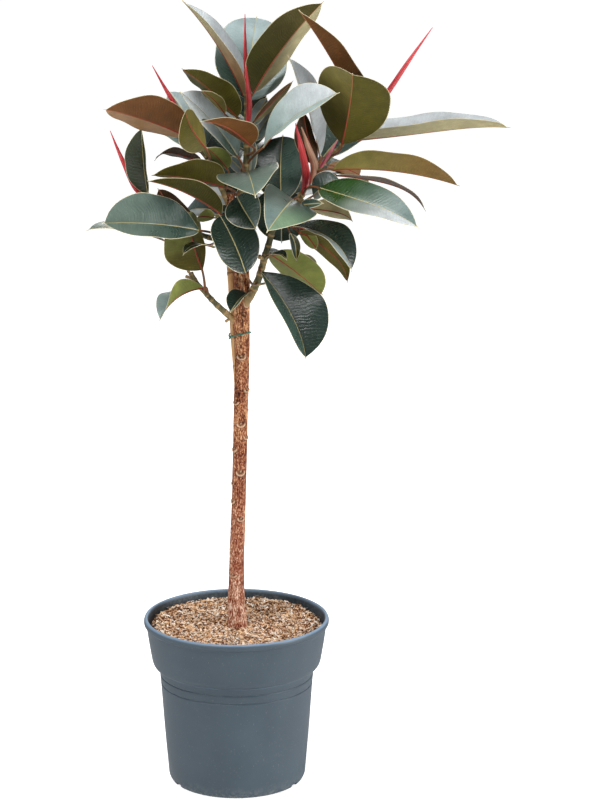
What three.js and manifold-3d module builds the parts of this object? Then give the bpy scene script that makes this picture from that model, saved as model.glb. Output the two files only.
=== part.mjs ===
// A rubber plant grown as a small standard tree in a round nursery pot.
// Millimetres, +Z up. The origin is the middle of the pot's base, on the ground.
import * as THREE from 'three';
import { mergeVertices } from 'three/addons/utils/BufferGeometryUtils.js';
import Module from 'manifold-3d';

const wasm = await Module();
wasm.setup();

// Driving dimensions
const clearance = 0.3;          // between pieces that touch
const rimRadius = 145;          // a 29 cm pot
const potHeight = 266;
const baseRadius = 108;
const collarFoot = 196;         // height at which the collar ends
const potWall = 2.6;
const drainSlots = 3;
const drainWidth = 16;
const soilEdge = 258;           // soil level at its shoulder, just inside the pot's wall
const soilDip = 8;              // how far the soil dips down to the trunk
const soilShoulder = 125.5;     // where it starts to fall off towards the wall
const soilReach = 136.8;
const wallDrop = 11;            // how much lower it lies at the wall
const soilRoughness = 2.2;
const rootLevel = 200;          // how deep the trunk stands
const caneLevel = 120;          // how deep the cane stands
const caneRadius = 5.5;
const wireRadius = 1.1;
const wireLevel = 720;
const wireTilt = [3, 2.7];      // how far the wire climbs to the right and to the front
const bladeThickness = 1.2;
const smallLeaf = 45;           // blades narrower than this have fewer cross sections
const ribDepth = 1.6;           // how far the midrib stands out under a blade
const petioleRadius = 2.1;
const dripStart = 0.965;        // share of a blade's length at which its drip tip starts
const dripSlope = 0.13;         // how fast the drip tip widens back from its point
const dripLength = 14;
const fullDripWidth = 60;       // narrower blades have a slimmer drip tip
const leastHalf = 0.6;          // half the width that a blade ends with
const hookPeak = 9.48;          // makes the hook's highest value 1, three quarters along
const sheathSides = 6;

// The trunk's centre line: x, y, z, radius
const trunkLine = [
  [1, 0, rootLevel, 17], [1, 0, 236, 17], [1, 0, 259, 15.5], [0, 0, 285, 13.5], [1, 0, 357, 12],
  [5, 0, 463, 11.3], [8, 0, 582, 11.3], [11, 0, 688, 11.5], [10, 0, 743, 13.2],
  [11, 0, 808, 12.5], [7, 0, 851, 12], [1, 0, 890, 11], [-5, -2, 921, 9], [-7, -4, 940, 8],
];
// Leaf scars and buds on the trunk: height, direction in degrees (-90 is the front), size
const trunkNubs = [
  [687, -95, 3.4], [634, -35, 3], [614, -140, 3], [580, -85, 3.2], [558, -30, 3],
  [539, -145, 3], [503, -80, 3.2], [456, -150, 2.8], [428, -65, 3.2], [336, -120, 3],
  [655, 60, 3], [405, 40, 3], [375, 130, 3], [740, 120, 3.4],
];
const caneLine = [
  [2, 20, 357], [3, 19, 480], [4, 18.5, 620], [-2, 17, 715],
  [-6, 14, 808], [-11, 15.5, 864],
];
const unrolledLeaf = [[117, -32, 962, 3.2], [121, -38, 988, 6], [110, -52, 1025, 3.6], [102, -60, 1050, 0.6]];

// Each leafy stem: its line as x, y, z, radius, and its leaves.
// A leaf: where its blade starts, where its tip is, which way its upper side looks, then
// its width, where along it the widest part lies and how blunt it ends, then how steeply
// its halves fold up in degrees, how far it arches, how far its tip hooks down, how far it
// sways sideways and how far it twists in degrees from base to tip.
const leafyStems = {
  leader_shoot: {
    line: [
      [3, -3, 883, 8], [7, -4, 922, 7], [14, -7, 953, 6], [18, -9, 979, 5], [20, -10, 1019, 4.6],
      [20, -10, 1052, 4.2], [20, -9, 1083, 3.8], [20, -9, 1095, 3.4],
    ],
    leaves: [
      [[15, -5, 1090], [-75, -30, 1235], [0.8, -0.1, 0.5], [73, 0.38, 0.1], [30, 8, 0, 0, 0]],
      [[25, 5, 1080], [34, 105, 1195], [0.1, -0.8, 0.6], [112, 0.36, 0.9], [12, 14, 0, -4, 0]],
      [[30, -20, 1095], [135, -45, 1235], [-0.5, 0.7, 0.5], [88, 0.42, 0.5], [18, 8, 0, 0, 0]],
      [[5, -30, 1060], [-75, -80, 1140], [0.4, 0.6, 0.7], [72, 0.42, 0.3], [16, 8, 0, 5, 0]],
      [[-12, -50, 1068], [-45, -100, 1110], [0.3, 0.6, 0.8], [28, 0.55, 0.8], [12, 4, 0, 0, 0]],
      [[45, -35, 1015], [158, -120, 1110], [-0.7, -0.4, 0.5], [80, 0.58, 0.5], [30, 12, 0, 0, 0]],
      [[5, -20, 1000], [-80, -40, 1100], [0.7, -0.5, 0.5], [78, 0.48, 0.5], [18, 8, 0, 0, 0]],
      [[26, -70, 1024], [-45, -170, 1075], [0.1, 0.4, 0.9], [64, 0.32, 0.2], [18, 10, 0, 0, 0]],
      [[20, -25, 975], [35, -155, 960], [-0.2, -0.1, 1], [94, 0.45, 0.3], [6, 14, 4, 0, 0]],
      [[15, 5, 970], [-10, 10, 995], [0, -1, 0.2], [18, 0.45, 0.5], [15, 3, 0, 0, 0]],
      [[25, 0, 970], [30, 10, 1020], [0, -1, 0.2], [16, 0.45, 0.5], [15, 3, 0, 0, 0]],
      [[30, -15, 1050], [90, -30, 1115], [0.2, 1, 0], [28, 0.45, 0.3], [62, 3, 0, 0, 0]],
      [[25, 10, 1040], [50, 35, 1080], [0.2, -0.9, 0.4], [22, 0.45, 0.5], [12, 4, 0, 0, 0]],
      [[30, 25, 1015], [70, 50, 1070], [-0.3, -0.7, 0.6], [40, 0.45, 0.6], [12, 4, 0, 0, 0]],
      [[-15, -31, 954], [-120, -101, 984], [-0.2, 0.6, 0.8], [76, 0.28, 0.1], [26, 8, 0, 4, 0]],
      [[-20, -40, 915], [-125, -125, 980], [0.1, 0.5, 0.9], [60, 0.4, 0.4], [26, 8, 0, 0, 0]],
      [[-5, 15, 925], [-55, 60, 945], [-0.7, -0.7, -0.1], [30, 0.45, 0.5], [15, 4, 0, 0, 0]],
      [[-30, -20, 905], [-55, -45, 910], [-0.6, 0.7, 0.5], [24, 0.45, 0.5], [12, 3, 0, 0, 0]],
      [[5, -35, 940], [35, -90, 900], [-0.4, -0.75, 0.6], [58, 0.42, 0.4], [10, 6, 0, 0, 0]],
      [[20, 25, 1000], [35, 175, 1035], [-0.1, -0.2, 1], [75, 0.45, 0.5], [14, 14, 4, 0, 0]],
      [[5, 20, 985], [-50, 140, 1035], [-0.2, -0.3, 0.9], [75, 0.45, 0.5], [14, 14, 4, 0, 0]],
      [[20, 20, 1050], [0, 150, 1105], [0.1, -0.4, 0.9], [75, 0.45, 0.5], [14, 16, 4, 0, 0]],
    ],
  },
  left_shoot: {
    line: [[-6, -3, 917, 4.5], [-24, -12, 961, 4], [-39, -22, 994, 3.6], [-46, -26, 1009, 3.2]],
    leaves: [
      [[-47, -5, 1010], [-100, 30, 1092], [0.5, -0.7, 0.6], [72, 0.42, 0.4], [12, 6, 0, 0, 0]],
      [[-55, -10, 1010], [-125, 20, 1045], [0.1, -0.5, 0.8], [50, 0.45, 0.5], [15, 6, 0, 0, 0]],
      [[-40, -85, 1022], [-68, -140, 1086], [-0.9, 0.5, 0.1], [58, 0.42, 0.3], [15, 6, 0, 0, 0]],
      [[-68, -60, 1035], [-188, -125, 1086], [-0.1, 0.7, 0.7], [88, 0.42, 0.3], [22, 6, 0, 0, 0]],
      [[-50, 5, 988], [-119, -25, 993], [-0.1, 0.4, 0.9], [42, 0.5, 0.7], [8, 6, 8, 0, 0]],
      [[-10, -20, 980], [-40, -70, 1020], [0, 0.6, 0.8], [36, 0.45, 0.5], [15, 4, 0, 0, 0]],
      [[-50, 10, 1000], [-105, 125, 1035], [-0.1, -0.3, 0.9], [65, 0.45, 0.5], [14, 14, 4, 0, 0]],
    ],
  },
  far_left_shoot: {
    line: [[-4, 4, 863, 4.5], [-33, 2, 869, 4], [-60, 8, 878, 3.8], [-95, 8, 904, 3.4], [-125, 0, 930, 3]],
    leaves: [
      [[-130, -10, 940], [-137, -35, 1047], [-0.6, -0.75, 0.2], [58, 0.48, 0.3], [38, 3, 0, 0, 0]],
      [[-52, -70, 895], [-193, -135, 918], [0.4, -0.6, 0.7], [90, 0.53, 0.8], [26, 8, 0, 0, 0]],
      [[-105, -20, 870], [-220, -70, 895], [0.2, 0, 1], [60, 0.45, 0.4], [6, 8, 4, 0, 0]],
      [[-30, -58, 867], [-75, -90, 861], [-0.1, 0, 1], [36, 0.45, 0.5], [5, 8, 4, 0, 0]],
      [[-55, 40, 860], [-118, 40, 940], [-0.4, 0.9, -0.3], [48, 0.45, 0.6], [15, 6, 0, 0, 0]],
    ],
  },
  low_left_branch: {
    line: [[2, 0, 739, 5], [-30, -14, 772, 4.2], [-45, -20, 790, 3.8], [-57, -24, 805, 3.6], [-66, -26, 821, 3.6]],
    leaves: [
      [[-48, -45, 830], [-68, -60, 922], [-0.7, 0.7, -0.1], [94, 0.42, 0.8], [28, 6, 0, 0, 0]],
      [[-47, -32, 799], [-112, -75, 757], [-0.5, 0.2, 0.9], [56, 0.45, 0.7], [38, 12, 0, 0, 80]],
    ],
  },
  right_branch: {
    line: [
      [11, -2, 761, 7], [27, -12, 788, 6], [36, -18, 808, 5.4], [42, -22, 828, 5.2], [47, -25, 847, 5],
      [53, -27, 867, 4.8], [59, -28, 888, 4.5], [76, -28, 912, 4], [94, -28, 929, 3.6], [105, -30, 942, 3.2],
    ],
    leaves: [
      [[18, -70, 830], [-22, -45, 915], [0.5, -0.8, 0.4], [78, 0.5, 0.9], [10, 6, 0, 0, 0]],
      [[90, -60, 940], [51, -165, 910], [0.4, -0.4, 0.8], [86, 0.28, 0.2], [8, 15, 0, 0, 0]],
      [[72, 5, 925], [74, 55, 1020], [-0.3, -0.9, 0.4], [84, 0.5, 0.8], [15, 8, 0, 0, 0]],
      [[130, -75, 960], [276, -150, 913], [0, -0.5, 0.9], [76, 0.38, 0.4], [14, 10, 5, 4, 0]],
      [[120, -48, 944], [160, -65, 972], [-0.6, -0.6, 0.5], [46, 0.45, 0.8], [20, 5, 0, 0, 0]],
      [[100, -55, 930], [135, -90, 940], [-0.7, -0.6, 0.4], [16, 0.45, 0.5], [15, 3, 0, 0, 0]],
      [[115, -25, 920], [180, -50, 904], [0.35, 0.75, 0.55], [40, 0.42, 0.3], [15, 6, 4, 0, 0]],
      [[90, -40, 895], [178, -80, 833], [0.5, -0.3, 0.8], [82, 0.5, 0.7], [20, 20, 3, 0, 0]],
      [[98, -22, 884], [172, -58, 812], [0.3, 0.8, 0.4], [40, 0.45, 0.7], [14, 16, 6, 0, 0]],
      [[100, -20, 890], [125, -35, 860], [0.3, 0.9, -0.2], [22, 0.45, 0.8], [15, 4, 0, 0, 0]],
      [[85, -40, 885], [95, -50, 845], [0.4, -0.9, 0.3], [16, 0.45, 0.3], [15, -6, -4, -7, 0]],
      [[55, -35, 850], [80, -50, 845], [0.1, -0.2, 1], [24, 0.45, 0.5], [20, 4, 3, 0, 0]],
      [[55, -15, 848], [135, 5, 780], [0.2, 0.8, 0.5], [66, 0.5, 0.9], [18, 4, 0, 0, 0]],
      [[40, -35, 825], [109, -105, 703], [0.5, -0.6, 0.6], [108, 0.56, 0.9], [34, 10, 3, -5, 0]],
      [[20, -30, 790], [-5, -65, 768], [-0.2, -0.4, 0.9], [40, 0.45, 0.6], [38, 4, 0, 0, 0]],
      [[60, 15, 838], [110, 120, 780], [0.1, 0, 1], [70, 0.45, 0.5], [14, 14, 4, 0, 0]],
    ],
  },
  upper_right_shoot: {
    line: [[91, -28, 926, 3.6], [112, -22, 957, 3.4], [130, -18, 981, 3.2], [153, -16, 1005, 3],
      [175, -18, 1029, 2.8], [193, -20, 1049, 2.6]],
    leaves: [
      [[195, -45, 1055], [98, -100, 1229], [0.7, 0.4, 0.6], [78, 0.42, 0.2], [25, 6, 0, 0, 0]],
      [[163, -60, 1025], [176, -170, 1145], [0.35, 0.72, 0.6], [120, 0.43, 1.0], [20, 12, 0, 0, 0]],
      [[130, 15, 995], [82, -50, 1155], [0.9, -0.3, 0.1], [74, 0.5, 0.1], [20, 6, 0, 0, 0]],
      [[125, -35, 990], [105, -40, 1070], [-0.7, 0.7, -0.1], [44, 0.45, 0.5], [20, 4, 0, 0, 0]],
      [[180, -5, 1021], [420, 30, 1035], [-0.1, 0, 1], [98, 0.28, 1.0], [27, 1, 4, 0, 0]],
      [[150, -55, 985], [338, -95, 967], [0.2, 0.5, 0.9], [88, 0.43, 0.8], [21, 10, 0, 0, 0]],
      [[155, -20, 970], [290, -30, 917], [0.4, 0.2, 0.9], [64, 0.5, 0.8], [8, 12, 8, 0, 0]],
      [[143, 0, 982], [192, 20, 963], [-0.1, 0.6, 0.8], [42, 0.5, 0.9], [8, 4, 0, 0, 0]],
      [[135, 25, 990], [210, 120, 1035], [0.2, -0.3, 0.9], [75, 0.45, 0.5], [14, 14, 4, 0, 0]],
      [[125, 20, 970], [195, 125, 920], [0.2, -0.3, 0.9], [70, 0.45, 0.5], [14, 14, 4, 0, 0]],
    ],
  },
  back_shoot: {
    line: [[4, 4, 869, 6], [8, 30, 900, 5], [17, 55, 919, 4.5], [23, 78, 930, 4]],
    leaves: [
      [[35, 60, 950], [85, 190, 975], [0.1, -0.2, 1], [70, 0.45, 0.5], [14, 14, 4, 0, 0]],
      [[15, 90, 930], [20, 245, 950], [0, -0.1, 1], [85, 0.45, 0.5], [14, 16, 4, 0, 0]],
      [[70, 90, 910], [165, 170, 905], [0, -0.2, 1], [75, 0.45, 0.5], [14, 14, 4, 0, 0]],
      [[-5, 75, 915], [-75, 185, 945], [-0.2, -0.3, 0.9], [75, 0.45, 0.5], [14, 14, 4, 0, 0]],
      [[-15, 80, 895], [-90, 170, 865], [-0.3, -0.3, 0.9], [70, 0.45, 0.5], [14, 12, 4, 0, 0]],
      [[5, 60, 885], [-10, 190, 845], [0, -0.2, 1], [85, 0.45, 0.5], [14, 20, 4, 0, 0]],
      [[69, 60, 936], [72, 10, 860], [0.1, -0.8, 0.5], [84, 0.5, 1.0], [8, 6, 0, 0, 0]],
      [[20, 95, 910], [75, 210, 865], [0.1, 0.2, 1], [70, 0.45, 0.5], [14, 16, 4, 0, 0]],
    ],
  },
};

// Red sheaths round the growing buds: the shoots that each one touches, and its line
const budSheaths = {
  sheath_top: [['leader_shoot'], [[20, -9, 1095, 3.2], [18, -12, 1151, 2.8], [18, -16, 1213, 0.5]]],
  sheath_centre: [['leader_shoot'], [[21, -15, 1041, 3.6], [24, -29, 1078, 4.2], [22, -38, 1109, 3],
    [20, -48, 1141, 0.5]]],
  sheath_left: [['left_shoot'], [[-46, -26, 1009, 3.6], [-68, -34, 1047, 4], [-94, -40, 1092, 3.2],
    [-120, -45, 1140, 0.5]]],
  sheath_far_left: [['far_left_shoot'], [[-125, 0, 930, 3.4], [-147, -2, 944, 4], [-169, 0, 990, 3.2],
    [-187, 2, 1035, 0.5]]],
  sheath_far_right: [['upper_right_shoot'], [[193, -20, 1049, 3.4], [226, -22, 1089, 4.4],
    [261, -20, 1141, 3], [298, -16, 1193, 0.5]]],
  sheath_right: [['right_branch', 'upper_right_shoot'], [[105, -31, 944, 3.6], [109, -42, 972, 6.4],
    [101, -76, 1024, 4.2], [93, -98, 1062, 0.5]]],
  sheath_small: [['upper_right_shoot'], [[130, -18, 981, 2.6], [144, -27, 1004, 2.8], [157, -28, 1026, 0.5]]],
};

const colours = {
  pot: [0x4e5a62, 0.5], soil: [0xbe966e, 0.95], bark: [0x825541, 0.85], cane: [0xc89664, 0.7],
  wire: [0x28826e, 0.4], leaf: [0x34503f, 0.35], sheath: [0xbe232d, 0.35], youngLeaf: [0xb07a5c, 0.5],
};

function finish(name) {
  const [color, roughness] = colours[name];
  return new THREE.MeshStandardMaterial({ color, roughness, metalness: 0 });
}

// A closed solid from any closed geometry
function solid(geometry) {
  const bare = geometry.clone();
  bare.deleteAttribute('normal');
  bare.deleteAttribute('uv');
  const merged = mergeVertices(bare, 1e-4);
  return new wasm.Manifold(new wasm.Mesh({
    numProp: 3,
    vertProperties: new Float32Array(merged.attributes.position.array),
    triVerts: new Uint32Array(merged.index.array),
  }));
}

function largestBody(shape) {
  return shape.decompose().sort((a, b) => b.volume() - a.volume())[0];
}

function toMesh(name, shape, colour) {
  const data = largestBody(shape).getMesh();
  const geometry = new THREE.BufferGeometry();
  geometry.setAttribute('position', new THREE.BufferAttribute(data.vertProperties, 3));
  geometry.setIndex(new THREE.BufferAttribute(data.triVerts, 1));
  geometry.computeVertexNormals();
  const mesh = new THREE.Mesh(geometry, finish(colour));
  mesh.name = name;
  return mesh;
}

// A closed skin over a row of rings of equal length, each ring anticlockwise seen from
// the row's end. Strips in `mirrored` are split along their other diagonal.
function skin(rings, mirrored = []) {
  const count = rings[0].length;
  const index = [];
  for (let r = 0; r < rings.length - 1; r += 1) {
    for (let i = 0; i < count; i += 1) {
      const next = (i + 1) % count;
      const [a, b, c, d] = [r * count + i, r * count + next, (r + 1) * count + next, (r + 1) * count + i];
      if (mirrored.includes(i)) index.push(a, b, d, b, c, d);
      else index.push(a, b, c, a, c, d);
    }
  }
  const last = (rings.length - 1) * count;
  for (let i = 1; i < count - 1; i += 1) {
    index.push(0, i + 1, i, last, last + i, last + i + 1);
  }
  const geometry = new THREE.BufferGeometry().setFromPoints(rings.flat());
  geometry.setIndex(index);
  return geometry;
}

const toVector = ([x, y, z]) => new THREE.Vector3(x, y, z);

function smoothLine(points) {
  return new THREE.CatmullRomCurve3(points.map(toVector), false, 'centripetal');
}

// A round rod that tapers along a line of x, y, z, radius; `grown` makes it larger all round
function taperedRod(line, sides, stepsPerSpan, grown = 0, ridge = () => 1) {
  const curve = smoothLine(line);
  const spans = line.length - 1;
  const steps = spans * stepsPerSpan;
  const { normals, binormals } = curve.computeFrenetFrames(steps, false);
  const rings = [];
  for (let k = 0; k <= steps; k += 1) {
    const place = curve.getPointAt(k / steps);
    if (k === 0) place.addScaledVector(curve.getTangentAt(0), -grown);
    if (k === steps) place.addScaledVector(curve.getTangentAt(1), grown);
    const along = curve.getUtoTmapping(k / steps) * spans;
    const span = Math.min(Math.floor(along), spans - 1);
    const radius = THREE.MathUtils.lerp(line[span][3], line[span + 1][3], along - span) + grown;
    rings.push(Array.from({ length: sides }, (_, i) => {
      const angle = (2 * Math.PI * i) / sides;
      const reach = radius * ridge(angle, place.z);
      return place.clone()
        .addScaledVector(normals[k], reach * Math.cos(angle))
        .addScaledVector(binormals[k], reach * Math.sin(angle));
    }));
  }
  return solid(skin(rings));
}

// An even rod along a line of x, y, z
function evenRod(points, radius, sides, steps) {
  const outline = new THREE.Shape(Array.from({ length: sides }, (_, i) => {
    const angle = (2 * Math.PI * i) / sides;
    return new THREE.Vector2(radius * Math.cos(angle), radius * Math.sin(angle));
  }));
  return solid(new THREE.ExtrudeGeometry(outline, { steps, bevelEnabled: false, extrudePath: smoothLine(points) }));
}

function nub(place, size) {
  const ball = new THREE.SphereGeometry(size, 5, 4);
  ball.translate(place.x, place.y, place.z);
  return solid(ball);
}

// Half of a blade's width at `u` from its base to its drip tip
function bladeHalf(u, length, [width, widest, blunt]) {
  if (u < widest) {
    const fullness = 0.6 + 6 * THREE.MathUtils.clamp(widest - 0.5, 0, 0.08);
    return Math.max((width / 2) * (1 - ((widest - u) / widest) ** 2.2) ** fullness, leastHalf);
  }
  const beyond = Math.min((u - widest) / (dripStart - widest), 1);
  const oval = (width / 2) * (1 - beyond ** (1.6 + 0.9 * blunt)) ** (0.85 - 0.35 * blunt);
  const tail = dripSlope * Math.min((1 - u) * length, dripLength) * Math.min(1, width / fullDripWidth);
  return Math.max(oval, tail, leastHalf);
}

// The point of a stem that a leaf stalk grows from: the nearest one below the blade's base
function stalkRoot(stem, base, along) {
  const wanted = base.clone().addScaledVector(along, -30).add(new THREE.Vector3(0, 0, -15));
  const curve = smoothLine(stem);
  return curve.getPoints(60).reduce((best, p) => (p.distanceTo(wanted) < best.distanceTo(wanted) ? p : best));
}

function stalkRings(root, base, along, upper, grown) {
  const radius = petioleRadius + grown;
  const bend = base.clone().addScaledVector(along, -0.45 * root.distanceTo(base));
  const curve = new THREE.QuadraticBezierCurve3(root, bend, base);
  const turn = new THREE.Quaternion();
  return [1, 0.5, 0].map((t) => {
    const tangent = curve.getTangent(t);
    turn.setFromUnitVectors(along, tangent);
    const up = upper.clone().applyQuaternion(turn);
    const side = tangent.clone().cross(up);
    return [150, 90, 30, -30, -90, -150].map((degrees) => {
      const angle = THREE.MathUtils.degToRad(degrees);
      return curve.getPoint(t)
        .addScaledVector(tangent, t === 0 ? -grown : 0)
        .addScaledVector(side, radius * Math.cos(angle))
        .addScaledVector(up, radius * Math.sin(angle));
    });
  }).reverse();
}

// One leaf: a round stalk that turns into a blade folded along its midrib; `grown` makes
// it thicker and wider
function leaf(stem, [from, to, face, outline, [fold, arch, hook, sway, twist]], grown = 0) {
  const base = toVector(from);
  const tip = toVector(to);
  const along = tip.clone().sub(base).normalize();
  const upper = toVector(face).addScaledVector(along, -toVector(face).dot(along)).normalize();
  const side = along.clone().cross(upper);
  const foldAngle = THREE.MathUtils.degToRad(fold);
  const stations = outline[0] < smallLeaf ? [0.08, 0.3, 0.75, 1] : [0.05, 0.15, 0.33, 0.54, 0.76, 0.92, 1];
  const rings = stations.map((u) => {
    const bow = 4 * u * (1 - u);
    const middle = base.clone().lerp(tip, u).addScaledVector(along, u === 1 ? grown : 0)
      .addScaledVector(upper, arch * bow + hook * hookPeak * u ** 3 * (1 - u)).addScaledVector(side, sway * bow);
    const turn = THREE.MathUtils.degToRad(twist) * (u - 0.5);
    const up = upper.clone().multiplyScalar(Math.cos(turn)).addScaledVector(side, -Math.sin(turn));
    const across = along.clone().cross(up);
    const half = bladeHalf(u, base.distanceTo(tip), outline) + grown;
    const point = (x, lift) => middle.clone()
      .addScaledVector(across, half * x * Math.cos(foldAngle))
      .addScaledVector(up, half * Math.abs(x) * Math.sin(foldAngle) + lift);
    const t = bladeThickness / 2 + grown;
    return [point(-1, t), point(0, t), point(1, t), point(1, -t), point(0, -t - ribDepth), point(-1, -t)];
  });
  const stalk = stalkRings(stalkRoot(stem, base, along), base, along, upper, grown);
  return solid(skin([...stalk, ...rings], [3, 4]));
}

function pot() {
  const inner = (radius) => radius - potWall;
  const profile = [
    [0, 0], [98, 0], [104.5, 2], [baseRadius, 8], [114.3, 84], [119.4, 158], [118.6, 160.5], [119.8, 163],
    [120.6, 172], [119.8, 174.5], [121, 177], [122.5, 186], [128, 189], [131.5, 192], [132.7, collarFoot],
    [141.5, 254], [144, 257], [rimRadius, 260], [144.5, 264], [141.5, potHeight], [139, 264.5],
    [inner(141.5), 254], [inner(132.7), 199], [inner(121), 190], [inner(119.4), 158],
    [inner(baseRadius), 9], [103, 5], [0, 5],
  ].map(([x, y]) => new THREE.Vector2(x, y));
  const body = new THREE.LatheGeometry(profile, 40);
  body.rotateX(Math.PI / 2);
  let shape = solid(body);
  for (let i = 0; i < drainSlots; i += 1) {
    const slot = new THREE.BoxGeometry(14, drainWidth, 9);
    slot.translate(106, 0, 2);
    slot.rotateZ(2 * Math.PI * (0.25 + i / drainSlots));
    shape = shape.subtract(solid(slot));
  }
  return shape;
}

// A steady pseudo-random number from -1 to 1 for each grain of the soil's surface
function grain(ring, step) {
  const wave = Math.sin(ring * 127.1 + step * 311.7) * 43758.5453;
  return 2 * (wave - Math.floor(wave)) - 1;
}

function soil() {
  const insideOf = (radius) => radius - potWall - 0.6;
  const rings = [soilReach, soilShoulder, 107, 92, 77, 62, 46, 30];
  const level = (radius) => soilEdge - soilDip * (1 - (radius / soilReach) ** 2) - (radius > soilShoulder ? wallDrop : 0);
  const top = rings.map((radius) => [radius, level(radius)]);
  const profile = [
    [0, 5.4], [102.5, 5.4], [insideOf(baseRadius), 9.6], [insideOf(119.4), 158],
    [insideOf(121), 190.4], [insideOf(132.7), 199.4], ...top, [0, soilEdge - soilDip],
  ].map(([x, y]) => new THREE.Vector2(x, y));
  const sides = 40;
  const body = new THREE.LatheGeometry(profile, sides);
  body.rotateX(Math.PI / 2);
  const place = body.attributes.position;
  const firstRough = profile.length - top.length;
  for (let i = 0; i < place.count; i += 1) {
    const ring = i % profile.length;
    const step = Math.floor(i / profile.length) % sides;
    const rough = ring >= firstRough && ring < profile.length - 1;
    if (rough) place.setZ(i, place.getZ(i) + soilRoughness * grain(ring, step));
  }
  return solid(body);
}

function trunk() {
  const flutes = (angle, z) => 1 + 0.09 * Math.cos(5 * angle) * Math.max(0, 1 - (z - rootLevel) / 90);
  let shape = taperedRod(trunkLine, 12, 2, 0, flutes);
  const curve = smoothLine(trunkLine);
  const samples = curve.getPoints(240);
  for (const [height, direction, size] of trunkNubs) {
    const middle = samples.reduce((a, b) => (Math.abs(b.z - height) < Math.abs(a.z - height) ? b : a));
    const angle = THREE.MathUtils.degToRad(direction);
    const place = middle.clone().add(new THREE.Vector3(Math.cos(angle), Math.sin(angle), 0).multiplyScalar(11.2));
    shape = shape.add(nub(place, size));
  }
  return shape;
}

// A wire loop round the trunk and the cane, twisted to a knot at the left
function tieWire() {
  const trunkMiddle = [10.5, 0];
  const caneMiddle = [-2, 16.5];
  const gap = wireRadius + clearance;
  const aroundTrunk = 12.7 + gap;
  const aroundCane = caneRadius + 0.6 + gap;
  const spot = ([x, y], reach, degrees, rise) => {
    const angle = THREE.MathUtils.degToRad(degrees);
    return [x + reach * Math.cos(angle), y + reach * Math.sin(angle), wireLevel + rise];
  };
  const byTrunk = (reach, degrees, rise = 0) => {
    const angle = THREE.MathUtils.degToRad(degrees);
    return spot(trunkMiddle, reach, degrees, rise + wireTilt[0] * Math.cos(angle) - wireTilt[1] * Math.sin(angle));
  };
  const loop = [
    byTrunk(aroundTrunk + 5, 196),
    byTrunk(aroundTrunk + 1, 210),
    ...[240, 270, 300, 330, 0, 25, 50].map((a) => byTrunk(aroundTrunk, a)),
    ...[70, 110, 150, 190].map((a, i) => spot(caneMiddle, aroundCane, a, -1 - 1.6 * i)),
    byTrunk(aroundTrunk + 4, 180, -2.5),
    byTrunk(aroundTrunk + 7, 205, -4),
  ];
  return evenRod(loop, wireRadius, 5, 30);
}

// A leafy stem with all its leaves in one body
function leafyShoot({ line, leaves }, grown = 0) {
  const stem = taperedRod(line, 6, 2, grown);
  return leaves.reduce((shape, row) => shape.add(leaf(line, row, grown)), stem);
}

const cane = (grown) => evenRod([[1, 29, caneLevel - grown], ...caneLine], caneRadius + grown, 8, 12);
const roomForTrunk = taperedRod(trunkLine, 12, 2, clearance + 0.1);
const roomForShoot = (name) => leafyShoot(leafyStems[name], clearance + 0.2);
const rootHole = taperedRod(trunkLine.slice(0, 5), 16, 1, clearance + 1.8);
const caneHole = cane(clearance + 0.2);

const parent = new THREE.Group();
parent.add(toMesh('pot', pot(), 'pot'));
parent.add(toMesh('soil', soil().subtract(rootHole).subtract(caneHole), 'soil'));
parent.add(toMesh('trunk', trunk(), 'bark'));
parent.add(toMesh('support_cane', cane(0), 'cane'));
parent.add(toMesh('tie_wire', tieWire(), 'wire'));

for (const [name, shoot] of Object.entries(leafyStems)) {
  let shape = leafyShoot(shoot).subtract(roomForTrunk);
  if (name === 'upper_right_shoot') shape = shape.subtract(roomForShoot('right_branch'));
  parent.add(toMesh(name, shape, 'leaf'));
}

for (const [name, [shoots, line]] of Object.entries(budSheaths)) {
  const rod = taperedRod(line, sheathSides, 3);
  const shape = shoots.reduce((rest, shoot) => rest.subtract(roomForShoot(shoot)), rod);
  parent.add(toMesh(name, shape, 'sheath'));
}
const youngLeaf = taperedRod(unrolledLeaf, sheathSides, 3).subtract(roomForShoot('upper_right_shoot'));
parent.add(toMesh('new_leaf', youngLeaf, 'youngLeaf'));

export default parent;
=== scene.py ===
import math
import random

import bpy
import numpy as np
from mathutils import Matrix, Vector, noise


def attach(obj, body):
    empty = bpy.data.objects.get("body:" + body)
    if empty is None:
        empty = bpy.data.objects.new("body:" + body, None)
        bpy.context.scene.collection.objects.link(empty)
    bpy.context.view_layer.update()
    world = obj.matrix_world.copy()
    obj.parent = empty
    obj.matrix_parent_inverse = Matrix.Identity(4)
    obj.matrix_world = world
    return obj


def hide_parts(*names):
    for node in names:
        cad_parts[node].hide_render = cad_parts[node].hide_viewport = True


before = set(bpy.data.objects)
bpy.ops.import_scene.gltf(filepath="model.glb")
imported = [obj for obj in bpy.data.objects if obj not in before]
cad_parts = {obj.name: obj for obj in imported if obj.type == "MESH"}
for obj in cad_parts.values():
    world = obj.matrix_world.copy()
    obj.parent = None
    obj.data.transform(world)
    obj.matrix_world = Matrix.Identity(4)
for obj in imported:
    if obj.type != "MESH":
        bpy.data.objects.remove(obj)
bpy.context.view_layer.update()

random.seed(41)
dice = np.random.default_rng(41)
mm = 0.001


def colour(hexText):
    parts = [int(hexText[i:i + 2], 16) / 255 for i in (0, 2, 4)]
    linear = [p / 12.92 if p <= 0.04045 else ((p + 0.055) / 1.055) ** 2.4 for p in parts]
    return (*linear, 1.0)


# camera and studio

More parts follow.
